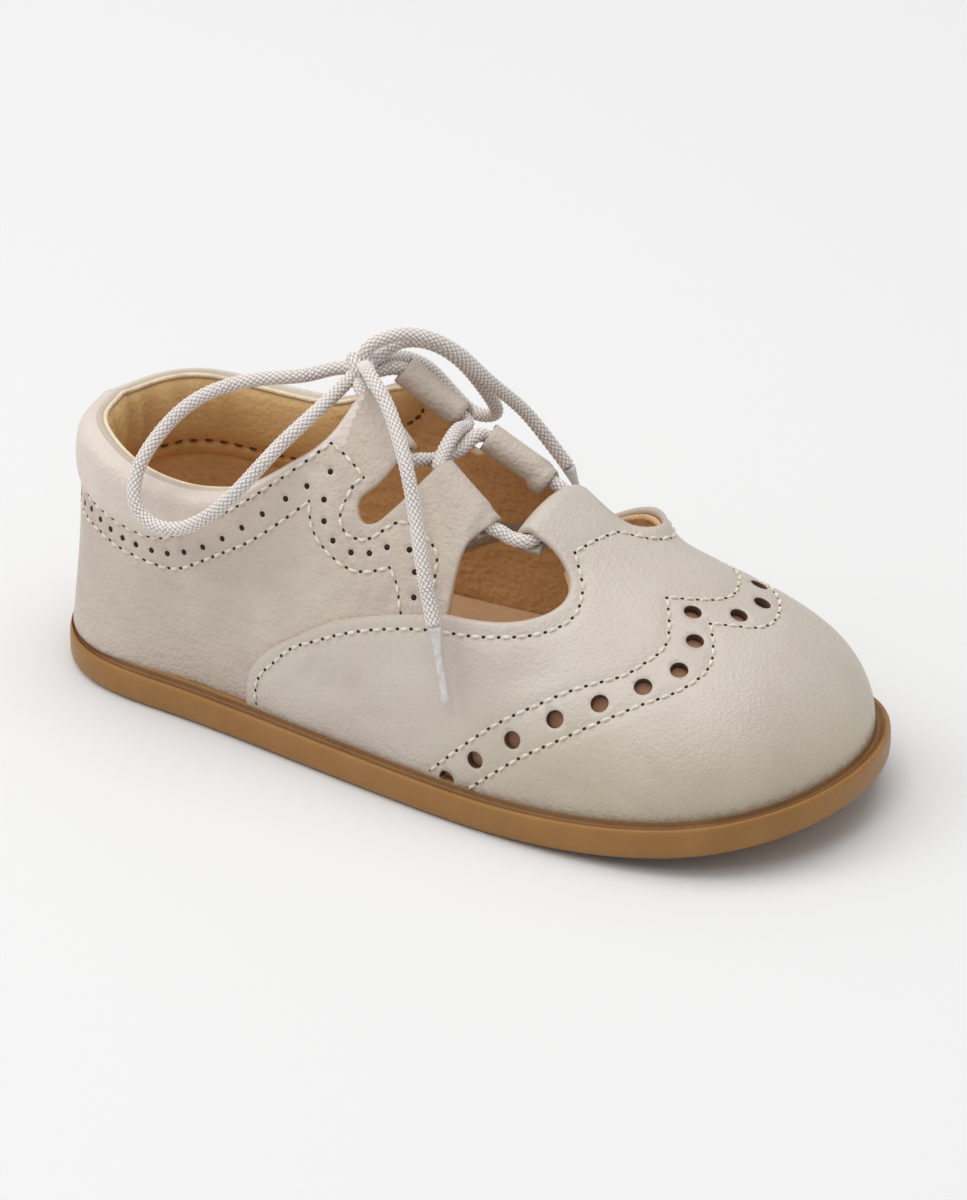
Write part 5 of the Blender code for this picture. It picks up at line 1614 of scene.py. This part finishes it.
def capsules(run, height, facing=1):
    """Stitches along a seam: rings round a short arc, narrow at both ends, facing out of the shoe or in."""
    along, line, normal, middles, pitch = stitch_places(run, height)
    normal = normal * facing
    station = np.linspace(-1, 1, STITCH_STATIONS)
    at = middles[:, None] + station * pitch * STITCH_SHARE / 2
    centre, out = read_along(along, line, at), read_along(along, normal, at)
    out = unit(out)
    way = read_along(along, line, at + READ_STEP) - read_along(along, line, at - READ_STEP)
    across = unit(np.cross(way, out))
    centre = centre + out * (STITCH_LIFT - STITCH_DIVE * station**4)[None, :, None]
    turn = round_steps(STITCH_RING)
    radius = (THREAD * np.sqrt(STITCH_ENDS - station**4))[None, :, None, None]
    spoke = np.cos(turn)[:, None] * across[:, :, None] + np.sin(turn)[:, None] * out[:, :, None]
    return centre[:, :, None] + radius * spoke


def stitch_mesh(rings):
    """Faces of all stitches: sides between rings, and a flat face at both ends."""
    count = len(rings)
    each = STITCH_STATIONS * STITCH_RING
    start = (np.arange(count) * each)[:, None, None]
    sides = start + grid_faces(STITCH_STATIONS, STITCH_RING, closed=True)
    ends = np.stack([np.arange(STITCH_RING)[::-1], each - STITCH_RING + np.arange(STITCH_RING)])
    return rings.reshape(-1, 3), [(sides.reshape(-1, 4)[:, ::-1], 0),
                                  ((start + ends).reshape(-1, STITCH_RING)[:, ::-1], 0)]


print("stitches:", STITCH_PITCH, "mm apart, of thread", 2 * THREAD, "mm thick")

# %% [markdown]
# Between the stitches the needle leaves small holes, and the band's pinholes go through the leather. The shade
# inside both is painted: each holds a flat dark lens, a ring with a point above and below its middle, laid in
# the leather. The needle holes aren't cut out, because that would cost far more faces and show no more.

# %% Painted shade in the holes
LENS_RING, LENS_RISE, LENS_ACROSS = 8, 0.05, (0.31, 0.42, 0.85)
NEEDLE_HOLE, NEEDLE_LIFT, PINHOLE_SUNK, PINHOLE_OVER = 0.30, 0.03, 0.12, 0.05


def lens_rows(centre, out, radius):
    """Lenses at given places: a ring across the outward direction, and a point on each side of its middle."""
    side = unit(np.cross(out, LENS_ACROSS))
    turn = round_steps(LENS_RING)
    spoke = np.cos(turn)[:, None] * side[:, None] + np.sin(turn)[:, None] * np.cross(out, side)[:, None]
    tips = centre[:, None] + LENS_RISE * np.array((1, -1))[:, None] * out[:, None]
    return np.concatenate([centre[:, None] + radius * spoke, tips], axis=1)


def needle_hole_shade(run, height):
    """Dark lenses of painted shade between the stitches of a seam and at both its ends."""
    along, line, normal, middles, pitch = stitch_places(run, height)
    at = np.append(middles - pitch / 2, middles[-1] + pitch / 2)
    return lens_rows(read_along(along, line, at), read_along(along, normal, at), NEEDLE_HOLE)


def lens_mesh(rows):
    """Faces of all lenses: a fan above and a fan below each ring."""
    number = np.arange(LENS_RING)
    top = np.stack([number, np.roll(number, -1), np.full(LENS_RING, LENS_RING)], 1)
    bottom = np.stack([np.roll(number, -1), number, np.full(LENS_RING, LENS_RING + 1)], 1)
    start = (np.arange(len(rows)) * (LENS_RING + 2))[:, None, None]
    return rows.reshape(-1, 3), [((start + np.vstack([top, bottom])).reshape(-1, 3), 0)]


print("dark holes:", 2 * NEEDLE_HOLE, "mm wide at the needle")

# %% [markdown]
# The seams are sewn last, because the stitches lie on the finished leather: pale thread outside, brown
# thread along the collar's lining.

# %% Sew the seams
thread = grained("thread", (0.76, 0.68, 0.55), (0.88, 0.82, 0.70), 4200.0, 0.8, 0.7, 700.0)
brown_thread = grained("brown_thread", (0.10, 0.042, 0.018), (0.17, 0.075, 0.032), 4200.0, 0.8, 0.7, 700.0)
# nearly black finish of the lenses: painted shade inside needle holes and pinholes
hole_painted_shade = grained("hole_painted_shade", (0.022, 0.016, 0.012), (0.048, 0.034, 0.024), 4200.0, 0.5, 0.9, 900.0)

stitches, dark = [], []
for panel, height_of in (("vamp", vamp_height), ("quarter", under_height)):
    for run in seams[panel]:
        height = height_of(run)[0]
        stitches.append(capsules(run, height))
        dark.append(needle_hole_shade(run, height + NEEDLE_LIFT))
# pinholes: dark lenses just under the surface paint the shade inside each hole
centre, out = on_last(pin_centres, under_height(pin_centres)[0] - PINHOLE_SUNK)
dark.append(lens_rows(centre, out, PINHOLE_RADIUS + PINHOLE_OVER))
place, height = band_place(BAND_SEAM, np.interp(BAND_SEAM, profile[:, 0], profile[:, 1]))
add_piece("lining_stitches", *stitch_mesh(capsules(place[0], height[0], -1)), [brown_thread], "sock_leather")
add_piece("stitching", *stitch_mesh(np.concatenate(stitches)), [thread], "upper_leather")
add_piece("needle_hole_shade", *lens_mesh(np.concatenate(dark)), [hole_painted_shade], "upper_leather")
